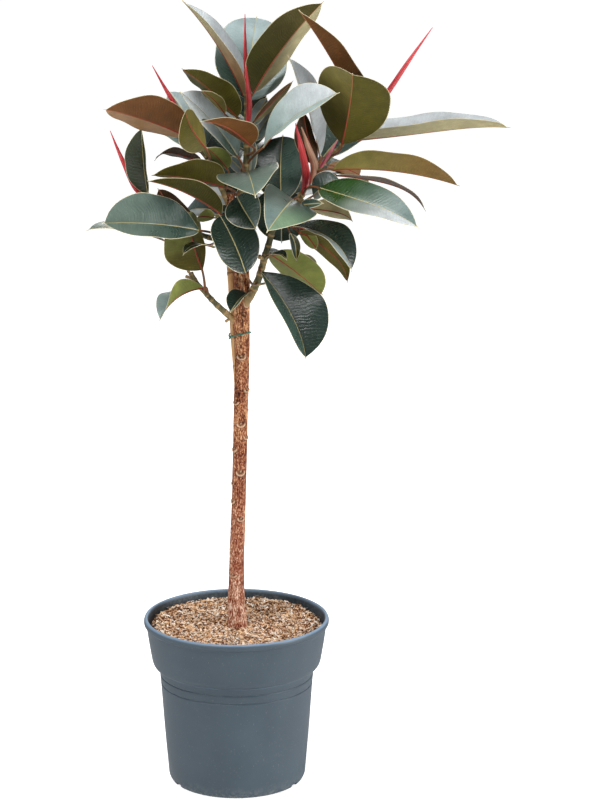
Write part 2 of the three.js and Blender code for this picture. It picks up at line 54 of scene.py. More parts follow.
cameraView = {
    "place": (0.100, -4.500, 1.741),
    "lookDown": 14.04,   # degrees
    "lens": 135.2,
}
cameraData = bpy.data.cameras.new("studioCamera")
cameraData.lens = cameraView["lens"]
cameraData.sensor_width = 36
cameraData.clip_end = 100
camera = bpy.data.objects.new("studioCamera", cameraData)
camera.location = cameraView["place"]
camera.rotation_euler = (math.radians(90 - cameraView["lookDown"]), 0, 0)
bpy.context.scene.collection.objects.link(camera)
bpy.context.scene.camera = camera
bpy.context.scene.view_settings.view_transform = "Standard"

studio = {
    "floorColour": "f6f6f6",
    "floorGlow": 0.8,
    "floorHalf": 40,       # metres
    "floorGap": 0.0005,    # the floor lies just under the pot
    "worldColour": "eef3f8",
    "worldStrength": 0.3,
    # name, place, what it points at, size, watts
    "lights": [
        ("topSoftbox", (-0.5, -1.2, 3.2), (0.05, 0, 0.9), 1.2, 58),
        ("leftSoftbox", (-2.4, -2.4, 2.0), (0, 0, 0.7), 1.1, 44),
        ("rightSoftbox", (3.0, -0.9, 1.4), (0, 0, 0.6), 1.1, 38),
        ("lowSoftbox", (2.3, -1.0, 0.6), (0.05, 0, 0.16), 0.7, 22),
        ("backSoftbox", (0.3, 3.2, 2.4), (0, 0, 0.6), 1.6, 26),
    ],
}


def areaLight(name, place, target, size, watts):
    data = bpy.data.lights.new(name, "AREA")
    data.shape = "SQUARE"
    data.size = size
    data.energy = watts
    lamp = bpy.data.objects.new(name, data)
    lamp.location = place
    lamp.rotation_euler = (Vector(target) - Vector(place)).to_track_quat("-Z", "Y").to_euler()
    bpy.context.scene.collection.objects.link(lamp)


for row in studio["lights"]:
    areaLight(*row)

world = bpy.data.worlds.new("studioWorld")
world.use_nodes = True
background = world.node_tree.nodes["Background"]
background.inputs["Color"].default_value = colour(studio["worldColour"])
background.inputs["Strength"].default_value = studio["worldStrength"]
bpy.context.scene.world = world
print("studio and camera ready")


# node helpers

def newMaterial(name, **settings):
    material = bpy.data.materials.new(name)
    material.use_nodes = True
    shader = material.node_tree.nodes["Principled BSDF"]
    for socket, value in settings.items():
        shader.inputs[socket.replace("_", " ")].default_value = value
    return material, material.node_tree, shader


def addNode(tree, kind, **settings):
    node = tree.nodes.new(kind)
    for name, value in settings.items():
        setattr(node, name, value)
    return node


# a socket takes a link from another socket, a plain value, or a colour as hex text
def feed(tree, socket, value):
    if isinstance(value, bpy.types.NodeSocket):
        tree.links.new(value, socket)
    else:
        socket.default_value = colour(value) if isinstance(value, str) else value


def calc(tree, operation, *values, clamp=False):
    node = addNode(tree, "ShaderNodeMath", operation=operation, use_clamp=clamp)
    for i, value in enumerate(values):
        feed(tree, node.inputs[i], value)
    return node.outputs[0]


def times(tree, first, second):
    return calc(tree, "MULTIPLY", first, second)


def plus(tree, first, second):
    return calc(tree, "ADD", first, second)


def remap(tree, value, fromLow, fromHigh, toLow=0.0, toHigh=1.0, smooth=False):
    node = addNode(tree, "ShaderNodeMapRange")
    if smooth:
        node.interpolation_type = "SMOOTHSTEP"
    for i, v in enumerate((value, fromLow, fromHigh, toLow, toHigh)):
        feed(tree, node.inputs[i], v)
    return node.outputs[0]


def blendColours(tree, factor, first, second):
    node = addNode(tree, "ShaderNodeMix", data_type="RGBA")
    feed(tree, node.inputs[0], factor)
    feed(tree, node.inputs[6], first)
    feed(tree, node.inputs[7], second)
    return node.outputs[2]


def ramp(tree, value, stops):
    node = addNode(tree, "ShaderNodeValToRGB")
    elements = node.color_ramp.elements
    while len(elements) < len(stops):
        elements.new(0.5)
    for element, (position, tint) in zip(elements, stops):
        element.position = position
        element.color = colour(tint)
    feed(tree, node.inputs[0], value)
    return node.outputs[0]


def readAttribute(tree, name):
    return addNode(tree, "ShaderNodeAttribute", attribute_name=name)


def splitXyz(tree, vector):
    node = addNode(tree, "ShaderNodeSeparateXYZ")
    feed(tree, node.inputs[0], vector)
    return node.outputs


def objectPoint(tree, stretch=(1, 1, 1)):
    place = addNode(tree, "ShaderNodeTexCoord")
    mapping = addNode(tree, "ShaderNodeMapping")
    mapping.inputs["Scale"].default_value = stretch
    tree.links.new(place.outputs["Object"], mapping.inputs["Vector"])
    return mapping.outputs[0]


def noiseAt(tree, point, scale, detail=3.0, roughness=0.55):
    node = addNode(tree, "ShaderNodeTexNoise")
    for name, value in (("Vector", point), ("Scale", scale), ("Detail", detail), ("Roughness", roughness)):
        feed(tree, node.inputs[name], value)
    return node.outputs["Fac"]


def addBump(tree, shader, height, strength, distance):
    node = addNode(tree, "ShaderNodeBump")
    node.inputs["Strength"].default_value = strength
    node.inputs["Distance"].default_value = distance
    feed(tree, node.inputs["Height"], height)
    tree.links.new(node.outputs[0], shader.inputs["Normal"])


def newGroup(name, inputs, outputs):
    group = bpy.data.node_groups.new(name, "ShaderNodeTree")
    for socketName, kind, value in inputs:
        socket = group.interface.new_socket(socketName, in_out="INPUT", socket_type=kind)
        if value is not None:
            socket.default_value = value
    for socketName, kind in outputs:
        group.interface.new_socket(socketName, in_out="OUTPUT", socket_type=kind)
    given = group.nodes.new("NodeGroupInput").outputs
    return group, given, group.nodes.new("NodeGroupOutput").inputs


def useGroup(tree, group, **values):
    node = addNode(tree, "ShaderNodeGroup", node_tree=group)
    for name, value in values.items():
        feed(tree, node.inputs[name], value)
    return node.outputs


# Leaf pattern: midrib, margin, side veins and streaks from a point's place on its leaf, in mm
def buildVeinGroup():
    group, given, result = newGroup(
        "leafVeins",
        [("Place", "NodeSocketVector", None), ("Spacing", "NodeSocketFloat", 5.0),
         ("RibWidth", "NodeSocketFloat", 1.0), ("MarginWidth", "NodeSocketFloat", 0.8)],
        [("Veins", "NodeSocketFloat"), ("Ripple", "NodeSocketFloat"), ("Midrib", "NodeSocketFloat"),
         ("Margin", "NodeSocketFloat"), ("Streaks", "NodeSocketFloat")])
    along, across, edge = splitXyz(group, given["Place"])
    outward = calc(group, "ABSOLUTE", across)
    slanted = calc(group, "SUBTRACT", along, times(group, outward, 0.42))
    slow = times(group, noiseAt(group, given["Place"], 0.02, 2.0), 22.0)
    quick = times(group, noiseAt(group, given["Place"], 0.11, 2.0), 3.0)
    slanted = plus(group, slanted, plus(group, slow, quick))
    phase = calc(group, "DIVIDE", slanted, given["Spacing"])
    saw = calc(group, "ABSOLUTE", calc(group, "SUBTRACT", calc(group, "FRACT", phase), 0.5))
    lines = remap(group, saw, 0.0, 0.13, 1.0, 0.0, smooth=True)
    patchy = remap(group, noiseAt(group, given["Place"], 0.05, 2.0), 0.38, 0.62, 0.15, 1.0)
    offRib = remap(group, outward, 0.5, 6.0, 0.1, 1.0)
    fade = times(group, offRib, remap(group, edge, 0.5, 9.0, 0.1, 1.0))
    feed(group, result["Veins"], times(group, times(group, lines, fade), patchy))
    feed(group, result["Ripple"], times(group, saw, times(group, fade, 2.0)))
    taper = remap(group, along, 0.0, 180.0, 1.35, 0.5)
    rib = times(group, given["RibWidth"], taper)
    midrib = remap(group, calc(group, "DIVIDE", outward, rib), 0.6, 1.2, 1.0, 0.0, smooth=True)
    feed(group, result["Midrib"], midrib)
    margin = calc(group, "DIVIDE", edge, given["MarginWidth"])
    margin = remap(group, margin, 0.5, 1.3, 1.0, 0.0, smooth=True)
    feed(group, result["Margin"], margin)
    combine = addNode(group, "ShaderNodeCombineXYZ")
    feed(group, combine.inputs[0], times(group, slanted, 0.55))
    feed(group, combine.inputs[1], times(group, across, 0.045))
    feed(group, result["Streaks"], remap(group, noiseAt(group, combine.outputs[0], 1.0, 3.0, 0.6), 0.3, 0.7))
    return group


# Uneven tone: soft blotches and small dark specks
def buildMottleGroup():
    group, given, result = newGroup(
        "mottle",
        [("Point", "NodeSocketVector", None), ("Blotch", "NodeSocketFloat", 30.0),
         ("Speck", "NodeSocketFloat", 300.0)],
        [("Tone", "NodeSocketFloat"), ("Specks", "NodeSocketFloat")])
    blotches = noiseAt(group, given["Point"], given["Blotch"], 4.0, 0.5)
    feed(group, result["Tone"], remap(group, blotches, 0.3, 0.7))
    specks = noiseAt(group, given["Point"], given["Speck"], 2.0, 0.5)
    feed(group, result["Specks"], remap(group, specks, 0.68, 0.76))
    return group


veinGroup = buildVeinGroup()
mottleGroup = buildMottleGroup()


# materials

# spacing and widths are in mm
leafUpperLook = {
    "vein": "9db2a4", "midrib": "b9ac78", "margin": "d6cdaa", "shade": "0f1d19",
    "spacing": 5.5, "ribWidth": 0.7, "marginWidth": 0.75, "veinShare": 0.14, "blotches": 38.0,
}
leafUnderLook = {
    "vein": "a59b62", "ribBase": "923428", "ribTip": "a06c46", "margin": "c3b48c", "shade": "241d0b",
    "spacing": 4.2, "ribWidth": 0.95, "marginWidth": 0.6, "veinShare": 0.16, "blotches": 55.0,
}
stalkTones = [(0.3, "4a3418"), (0.5, "7a4a28"), (0.7, "8c5c34")]
stemLook = {"tones": [(0.3, "2e3018"), (0.5, "625c34"), (0.72, "8e7648")], "scar": "c09a68"}


# the colour that both sides share: the leaf's tint, partly painted light and shade, uneven, streaked and
# speckled
def leafSkin(tree, look, attribute):
    place = readAttribute(tree, "leafPlace").outputs["Vector"]
    tint = readAttribute(tree, attribute).outputs["Color"]
    pattern = useGroup(tree, veinGroup, Place=place, Spacing=look["spacing"],
                       RibWidth=look["ribWidth"], MarginWidth=look["marginWidth"])
    mottle = useGroup(tree, mottleGroup, Point=objectPoint(tree), Blotch=look["blotches"], Speck=520.0)
    grain = useGroup(tree, mottleGroup, Point=objectPoint(tree), Blotch=420.0, Speck=900.0)
    base = blendColours(tree, remap(tree, mottle["Tone"], 0, 1, 0.3, 0.0), tint, look["shade"])
    base = blendColours(tree, times(tree, pattern["Streaks"], 0.16), base, look["shade"])
    base = blendColours(tree, times(tree, grain["Tone"], 0.12), base, look["shade"])
    base = blendColours(tree, times(tree, pattern["Veins"], look["veinShare"]), base, look["vein"])
    base = blendColours(tree, times(tree, mottle["Specks"], 0.45), base, look["shade"])
    base = blendColours(tree, times(tree, grain["Specks"], 0.35), base, look["margin"])
    return base, place, pattern, mottle


def leafUpperMaterial(look):
    material, tree, shader = newMaterial("leafUpperSide", Roughness=0.3, Specular_IOR_Level=0.55)
    base, _, pattern, mottle = leafSkin(tree, look, "upperTint")
    bright = addNode(tree, "ShaderNodeRGBToBW")
    feed(tree, bright.inputs[0], base)
    base = blendColours(tree, pattern["Midrib"], base, look["midrib"])
    base = blendColours(tree, pattern["Margin"], base, look["margin"])
    tree.links.new(base, shader.inputs["Base Color"])
    uneven = remap(tree, mottle["Tone"], 0, 1, 0.24, 0.32)
    pale = remap(tree, bright.outputs[0], 0.05, 0.5, 0, 0.2)
    tree.links.new(plus(tree, uneven, pale), shader.inputs["Roughness"])
    height = plus(tree, times(tree, pattern["Ripple"], 0.4), times(tree, mottle["Tone"], 0.6))
    height = plus(tree, height, times(tree, pattern["Streaks"], 0.4))
    addBump(tree, shader, height, 0.5, 0.0006)
    return material


def leafUnderMaterial(look):
    material, tree, shader = newMaterial("leafUnderSide", Roughness=0.5, Specular_IOR_Level=0.22)
    base, place, pattern, _ = leafSkin(tree, look, "underTint")
    along = splitXyz(tree, place)[0]
    towardsTip = remap(tree, along, 20.0, 170.0)
    ribColour = blendColours(tree, towardsTip, look["ribBase"], look["ribTip"])
    base = blendColours(tree, pattern["Midrib"], base, ribColour)
    base = blendColours(tree, pattern["Margin"], base, look["margin"])
    tree.links.new(base, shader.inputs["Base Color"])
    height = plus(tree, times(tree, pattern["Ripple"], 0.4), pattern["Streaks"])
    addBump(tree, shader, height, 0.25, 0.0004)
    return material


def stalkMaterial(tones):
    material, tree, shader = newMaterial("leafStalk", Roughness=0.45)
    point = objectPoint(tree, (1, 1, 0.4))
    tint = ramp(tree, noiseAt(tree, point, 70.0, 3.0), tones)
    tree.links.new(tint, shader.inputs["Base Color"])
    addBump(tree, shader, noiseAt(tree, point, 600.0), 0.3, 0.0003)
    return material


def stemMaterial(look):
    material, tree, shader = newMaterial("youngStem", Roughness=0.6)
    point = objectPoint(tree, (1, 1, 0.35))
    tint = ramp(tree, noiseAt(tree, point, 90.0, 5.0, 0.65), look["tones"])
    travelled, _, marks = splitXyz(tree, readAttribute(tree, "stemPlace").outputs["Vector"])
    tint = blendColours(tree, remap(tree, travelled, 8, 34, 0.65, 0), tint, look["scar"])
    tint = blendColours(tree, marks, tint, look["scar"])
    tree.links.new(tint, shader.inputs["Base Color"])
    addBump(tree, shader, noiseAt(tree, point, 420.0, 4.0), 0.5, 0.0006)
    return material


upperSide = leafUpperMaterial(leafUpperLook)
underSide = leafUnderMaterial(leafUnderLook)
stalkSkin = stalkMaterial(stalkTones)
youngStemSkin = stemMaterial(stemLook)
print("leaf materials ready")


# mesh helpers

def makePiece(name, points, faces, materials, cadNode, attributes=None, faceSlots=None):
    mesh = bpy.data.meshes.new(name)
    mesh.from_pydata((np.asarray(points) * mm).tolist(), [], [tuple(map(int, f)) for f in faces])
    for material in materials:
        mesh.materials.append(material)
    if faceSlots is not None:
        mesh.polygons.foreach_set("material_index", np.asarray(faceSlots, np.int32))
    mesh.polygons.foreach_set("use_smooth", [True] * len(mesh.polygons))
    for key, (kind, values) in (attributes or {}).items():
        layer = mesh.attributes.new(key, kind, "POINT")
        field = {"FLOAT_VECTOR": "vector", "FLOAT_COLOR": "color", "FLOAT": "value"}[kind]
        layer.data.foreach_set(field, np.asarray(values, np.float32).ravel())
    mesh.update()
    piece = bpy.data.objects.new(name, mesh)
    bpy.context.scene.collection.objects.link(piece)
    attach(piece, "root")
    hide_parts(cadNode)
    return piece


def unit(v):
    return v / np.linalg.norm(v)


# evenly spaced angles once round
def fullTurn(count):
    return np.linspace(0, 2 * np.pi, count, endpoint=False)


# how far along a line each of its points lies
def travelledAlong(path):
    return np.concatenate([[0], np.cumsum(np.linalg.norm(np.diff(path, axis=0), axis=1))])


# centripetal spline through points, as the solids use, with the other columns carried along
def splineThrough(points, perSpan):
    rows = np.asarray(points, float)
    xyz = rows[:, :3]
    ends = np.vstack([2 * xyz[0] - xyz[1], xyz, 2 * xyz[-1] - xyz[-2]])
    made = []
    for i in range(len(rows) - 1):
        p = ends[i:i + 4]
        steps = [max(np.sqrt(np.linalg.norm(p[k + 1] - p[k])), 1e-3) for k in range(3)]
        t0, t1 = 0.0, steps[0]
        t2, t3 = t1 + steps[1], t1 + steps[1] + steps[2]
        last = i == len(rows) - 2
        for t in np.linspace(t1, t2, perSpan + 1)[:None if last else -1]:
            a1 = (t1 - t) / (t1 - t0) * p[0] + (t - t0) / (t1 - t0) * p[1]
            a2 = (t2 - t) / (t2 - t1) * p[1] + (t - t1) / (t2 - t1) * p[2]
            a3 = (t3 - t) / (t3 - t2) * p[2] + (t - t2) / (t3 - t2) * p[3]
            b1 = (t2 - t) / (t2 - t0) * a1 + (t - t0) / (t2 - t0) * a2
            b2 = (t3 - t) / (t3 - t1) * a2 + (t - t1) / (t3 - t1) * a3
            share = (t - t1) / (t2 - t1)
            rest = rows[i, 3:] * (1 - share) + rows[i + 1, 3:] * share
            made.append([*((t2 - t) / (t2 - t1) * b1 + (t - t1) / (t2 - t1) * b2), *rest])
    return np.array(made)


# the directions across a line, sides and ups, which don't twist along it
def carriedFrames(line):
    tangents = np.gradient(line, axis=0)
    tangents /= np.linalg.norm(tangents, axis=1)[:, None]
    start = np.array([0.0, -1.0, 0.0])
    if abs(tangents[0] @ start) > 0.9:
        start = np.array([1.0, 0.0, 0.0])
    side = unit(start - (start @ tangents[0]) * tangents[0])
    sides = []
    for tangent in tangents:
        side = unit(side - (side @ tangent) * tangent)
        sides.append(side)
    sides = np.array(sides)
    return sides, np.cross(tangents, sides)


def ringFaces(rings, around, start=0, closeEnds=True):
    faces = []
    for r in range(rings - 1):
        for i in range(around):
            a, b = start + r * around + i, start + r * around + (i + 1) % around
            faces.append((a, b, b + around, a + around))
    if closeEnds:
        faces.append(tuple(start + i for i in reversed(range(around))))
        last = start + (rings - 1) * around
        faces.append(tuple(last + i for i in range(around)))
    return faces


def tube(line, radii, around):
    sides, ups = carriedFrames(line)
    turn = fullTurn(around)
    radii = np.asarray(radii, float)
    if radii.ndim == 1:
        radii = np.repeat(radii[:, None], around, axis=1)
    points = (line[:, None, :] + sides[:, None, :] * (radii * np.cos(turn))[:, :, None]
              + ups[:, None, :] * (radii * np.sin(turn))[:, :, None])
    return points.reshape(-1, 3), ringFaces(len(line), around)


# many parts gathered into one mesh, with named values for each point
class MeshPile:
    def __init__(self):
        self.points, self.faces, self.slots, self.layers = [], [], [], {}
        self.count = 0

    def add(self, points, faces, slots, **layers):
        self.faces += [tuple(i + self.count for i in f) for f in faces]
        self.points.append(points)
        self.slots += list(slots)
        for name, values in layers.items():
            self.layers.setdefault(name, []).append(np.asarray(values, float))
        self.count += len(points)

    def finished(self, name, materials, cadNode, slotName):
        layers = {key: np.vstack(rows) for key, rows in self.layers.items()}
        kinds = {3: "FLOAT_VECTOR", 4: "FLOAT_COLOR"}
        attributes = {key: (kinds[rows.shape[1]], rows) for key, rows in layers.items()}
        makePiece(name, np.vstack(self.points), self.faces, materials, cadNode,
                  attributes, self.slots)


# leaves

leafShape = {
    # mm
    "thickness": 0.9, "ribRadius": 1.2, "grooveDepth": 0.45, "fullSizeWidth": 60, "thinnestHalf": 0.6,
    "tailWidth": 0.35, "tailLength": 14, "stalkRadius": 1.8,
    # shares
    "ribTaper": 0.68, "waveHeight": 0.02, "cup": 0.25, "edgeThinning": 0.35, "dripStart": 0.965,
    "tailSlope": 0.13, "stalkBend": 0.45,
    # rings along the blade and along the stalk
    "rows": 26, "stalkRows": 7,
    "hookScale": 9.48,   # brings the highest point of u * u * u * (1 - u) to 1
}


# half of a blade's width at u from its base to its tip: an uneven oval that ends in a drip tip
def bladeHalf(u, length, width, widest, blunt):
    if u < widest:
        body = (1 - ((widest - u) / widest) ** 2.2) ** (0.6 + 6 * min(max(widest - 0.5, 0), 0.08))
    else:
        beyond = min((u - widest) / (leafShape["dripStart"] - widest), 1)
        body = (1 - beyond ** (1.6 + 0.9 * blunt)) ** (0.85 - 0.35 * blunt)
    half = width / 2 * body
    if u > 0.5:
        reach = min((1 - u) * length, leafShape["tailLength"]) * min(1, width / leafShape["fullSizeWidth"])
        tail = leafShape["tailWidth"] + leafShape["tailSlope"] * reach
        half = (half ** 4 + tail ** 4) ** 0.25
    return max(half, leafShape["thinnestHalf"])


# "a>b" runs from one tint at the leaf's base to the other at its tip; on some leaves this paints a highlight
# or shade towards one end
def tintAlong(words, shares):
    first, last = (np.array(colour(leafTints[word])) for word in (words.split(">") * 2)[:2])
    blend = np.clip((shares - 0.25) / 0.5, 0, 1)[:, None]
    return first * (1 - blend) + last * blend


def makeLeaf(pile, stemLine, row):
    base, tip, face, (width, widest, blunt), (fold, arch, hook, sway, twist), tints = row
    base, tip, face = np.array(base, float), np.array(tip, float), np.array(face, float)
    length = np.linalg.norm(tip - base)
    along = unit(tip - base)
    upper = unit(face - (face @ along) * along)
    side = np.cross(along, upper)
    size = min(1.0, width / leafShape["fullSizeWidth"])
    rib = leafShape["ribRadius"] * (0.4 + 0.6 * size)
    t = leafShape["thickness"] / 2
    phases = dice.uniform(0, 2 * np.pi, 4)
    waves = dice.uniform(1.2, 2.6, 2)
    lopsided = dice.uniform(-0.03, 0.03)
    shade = dice.uniform(0.88, 1.1)

    share = np.array([0, 0.5, 1.0, 1.7])
    spread = np.array([0.2, 0.45, 0.7, 0.88, 0.965, 1.0])
    evenly = np.linspace(0.07, 0.93, leafShape["rows"])
    us = np.concatenate([[0.012, 0.035], evenly, [0.955, 0.972, 0.988, 1.0]])
    foldAngle = math.radians(fold)
    rings, places = [], []
    for u in us:
        bow = 4 * u * (1 - u)
        middle = base + u * (tip - base) + bow * (arch * upper + sway * side)
        middle = middle + leafShape["hookScale"] * u ** 3 * (1 - u) * hook * upper
        a = math.radians(twist) * (u - 0.5)
        up = math.cos(a) * upper - math.sin(a) * side
        across = np.cross(along, up)
        half = bladeHalf(u, length, width, widest, blunt)
        r = rib * (1 - leafShape["ribTaper"] * u)
        inner = np.minimum(share * r, np.array([0, 0.1, 0.2, 0.32]) * half)
        xs = np.concatenate([inner, inner[-1] + spread * (half - inner[-1])])
        ring = {"top": [], "bottom": []}
        for sign in (-1, 1):
            ripple = math.sin(2 * np.pi * waves[(sign + 1) // 2] * u + phases[sign + 1])
            wave = leafShape["waveHeight"] * width * ripple
            for x in (xs[::-1] if sign < 0 else xs[1:]):
                v = x / half
                cupped = v * (1 + leafShape["cup"]) - leafShape["cup"] * v * v
                lean = half * math.sin(foldAngle) * cupped
                height = lean + wave * v * v * bow
                lateral = sign * x * math.cos(foldAngle) * (1 + sign * lopsided * v)
                groove = leafShape["grooveDepth"] * size * math.exp(-(x / (0.8 * r + 0.1)) ** 2)
                ridge = math.sqrt(max(r * r - x * x, 0)) * 1.15
                edgeThin = 1 - leafShape["edgeThinning"] * v ** 6
                centre = middle + lateral * across + height * up
                ring["top"].append((centre + (t * edgeThin - groove) * up, sign * x, half - x))
                ring["bottom"].append((centre - (t * edgeThin + ridge) * up, sign * x, half - x))
        outRight = ring["top"][-1][0] * 0.5 + ring["bottom"][-1][0] * 0.5 + 0.25 * across
        outLeft = ring["top"][0][0] * 0.5 + ring["bottom"][0][0] * 0.5 - 0.25 * across
        order = ring["top"] + [(outRight, half, 0)] + ring["bottom"][::-1] + [(outLeft, -half, 0)]
        rings.append([p for p, _, _ in order])
        places.append([(u * length, x, e) for _, x, e in order])

    # the stalk curves from its stem to the blade, with as many points round it as the blade has
    around = len(rings[0])
    topCount = around // 2 - 1
    wanted = base - 30 * along - np.array([0, 0, 15.0])
    root = stemLine[np.argmin(np.linalg.norm(stemLine[:, :3] - wanted, axis=1)), :3]
    bend = base - leafShape["stalkBend"] * np.linalg.norm(root - base) * along
    topTurn = np.linspace(172, 8, topCount)
    turn = np.radians(np.concatenate([topTurn, [0], -topTurn[::-1], [180]]))
    stalkRings, stalkPlaces = [], []
    upNow = upper
    for k in range(leafShape["stalkRows"] + 1):
        s = 1 - k / leafShape["stalkRows"]
        centre = (1 - s) ** 2 * root + 2 * s * (1 - s) * bend + s * s * base
        tangent = unit(2 * (1 - s) * (bend - root) + 2 * s * (base - bend) + 1e-6 * along)
        upNow = unit(upNow - (upNow @ tangent) * tangent)
        sideNow = np.cross(tangent, upNow)
        swell = 1.25 - 0.3 * s + 0.25 * max(0, 0.3 - s)
        radius = leafShape["stalkRadius"] * (0.45 + 0.55 * size) * swell
        flat = np.where(np.sin(turn) > 0.5, 0.86, 1.0)
        spokes = np.cos(turn)[:, None] * sideNow + np.sin(turn)[:, None] * upNow
        stalkRings.append(centre + radius * flat[:, None] * spokes)
        stalkPlaces.append([(0, radius * math.cos(w), 3) for w in turn])
    stalkRings.reverse()
    stalkPlaces.reverse()

    points = np.array([*stalkRings, *rings]).reshape(-1, 3)
    place = np.array([*stalkPlaces, *places]).reshape(-1, 3)
    total = len(stalkRings) + len(rings)
    faces = [tuple(reversed(f)) for f in ringFaces(total, around)]
    slots = []   # 0 is the upper side, 1 the under side, 2 the stalk
    for r in range(total - 1):
        for i in range(around):
            onStalk = r < len(stalkRings) - 1
            onTop = i < topCount or i == around - 1
            slots.append(2 if onStalk else (0 if onTop else 1))
    slots += [2, 0]
    shares = place[:, 0] / length
    # the two halves' tints, which partly paint light and shade, meet at the midrib
    inRight = np.clip(0.5 + place[:, 1] / (1.2 * rib), 0, 1)[:, None]
    upperLeft, upperRight, underLeft, underRight = (tintAlong(words, shares) for words in tints.split())
    upperTint = (upperLeft * (1 - inRight) + upperRight * inRight) * shade
    underTint = (underLeft * (1 - inRight) + underRight * inRight) * shade
    pile.add(points, faces, slots, leafPlace=place, upperTint=upperTint, underTint=underTint)


# tints for the leaves' upper and under sides; the three pale blue-grey ones are painted highlights and
# reflections on the glossy upper side, partly the leaves' own pale tone
leafTints = {
    "mist": "e4eaec", "frost": "b6cbc6", "bloom": "a8b8b9", "grey": "7c8f8a", "fern": "68796e",
    "slate": "40564d", "deep": "22352c", "fresh": "1f4a08", "forest": "2c340c", "sage": "809c7c",
    "olive": "625a1c", "darkOlive": "45420c", "shadowOlive": "544c26", "moss": "8c9448", "khaki": "8c8040",
    "bronze": "8a6a35", "straw": "c4b888", "tan": "bca676", "brown": "7c4d26", "umber": "50351f",
    "rose": "9a6f5e", "clay": "b4865a",
}
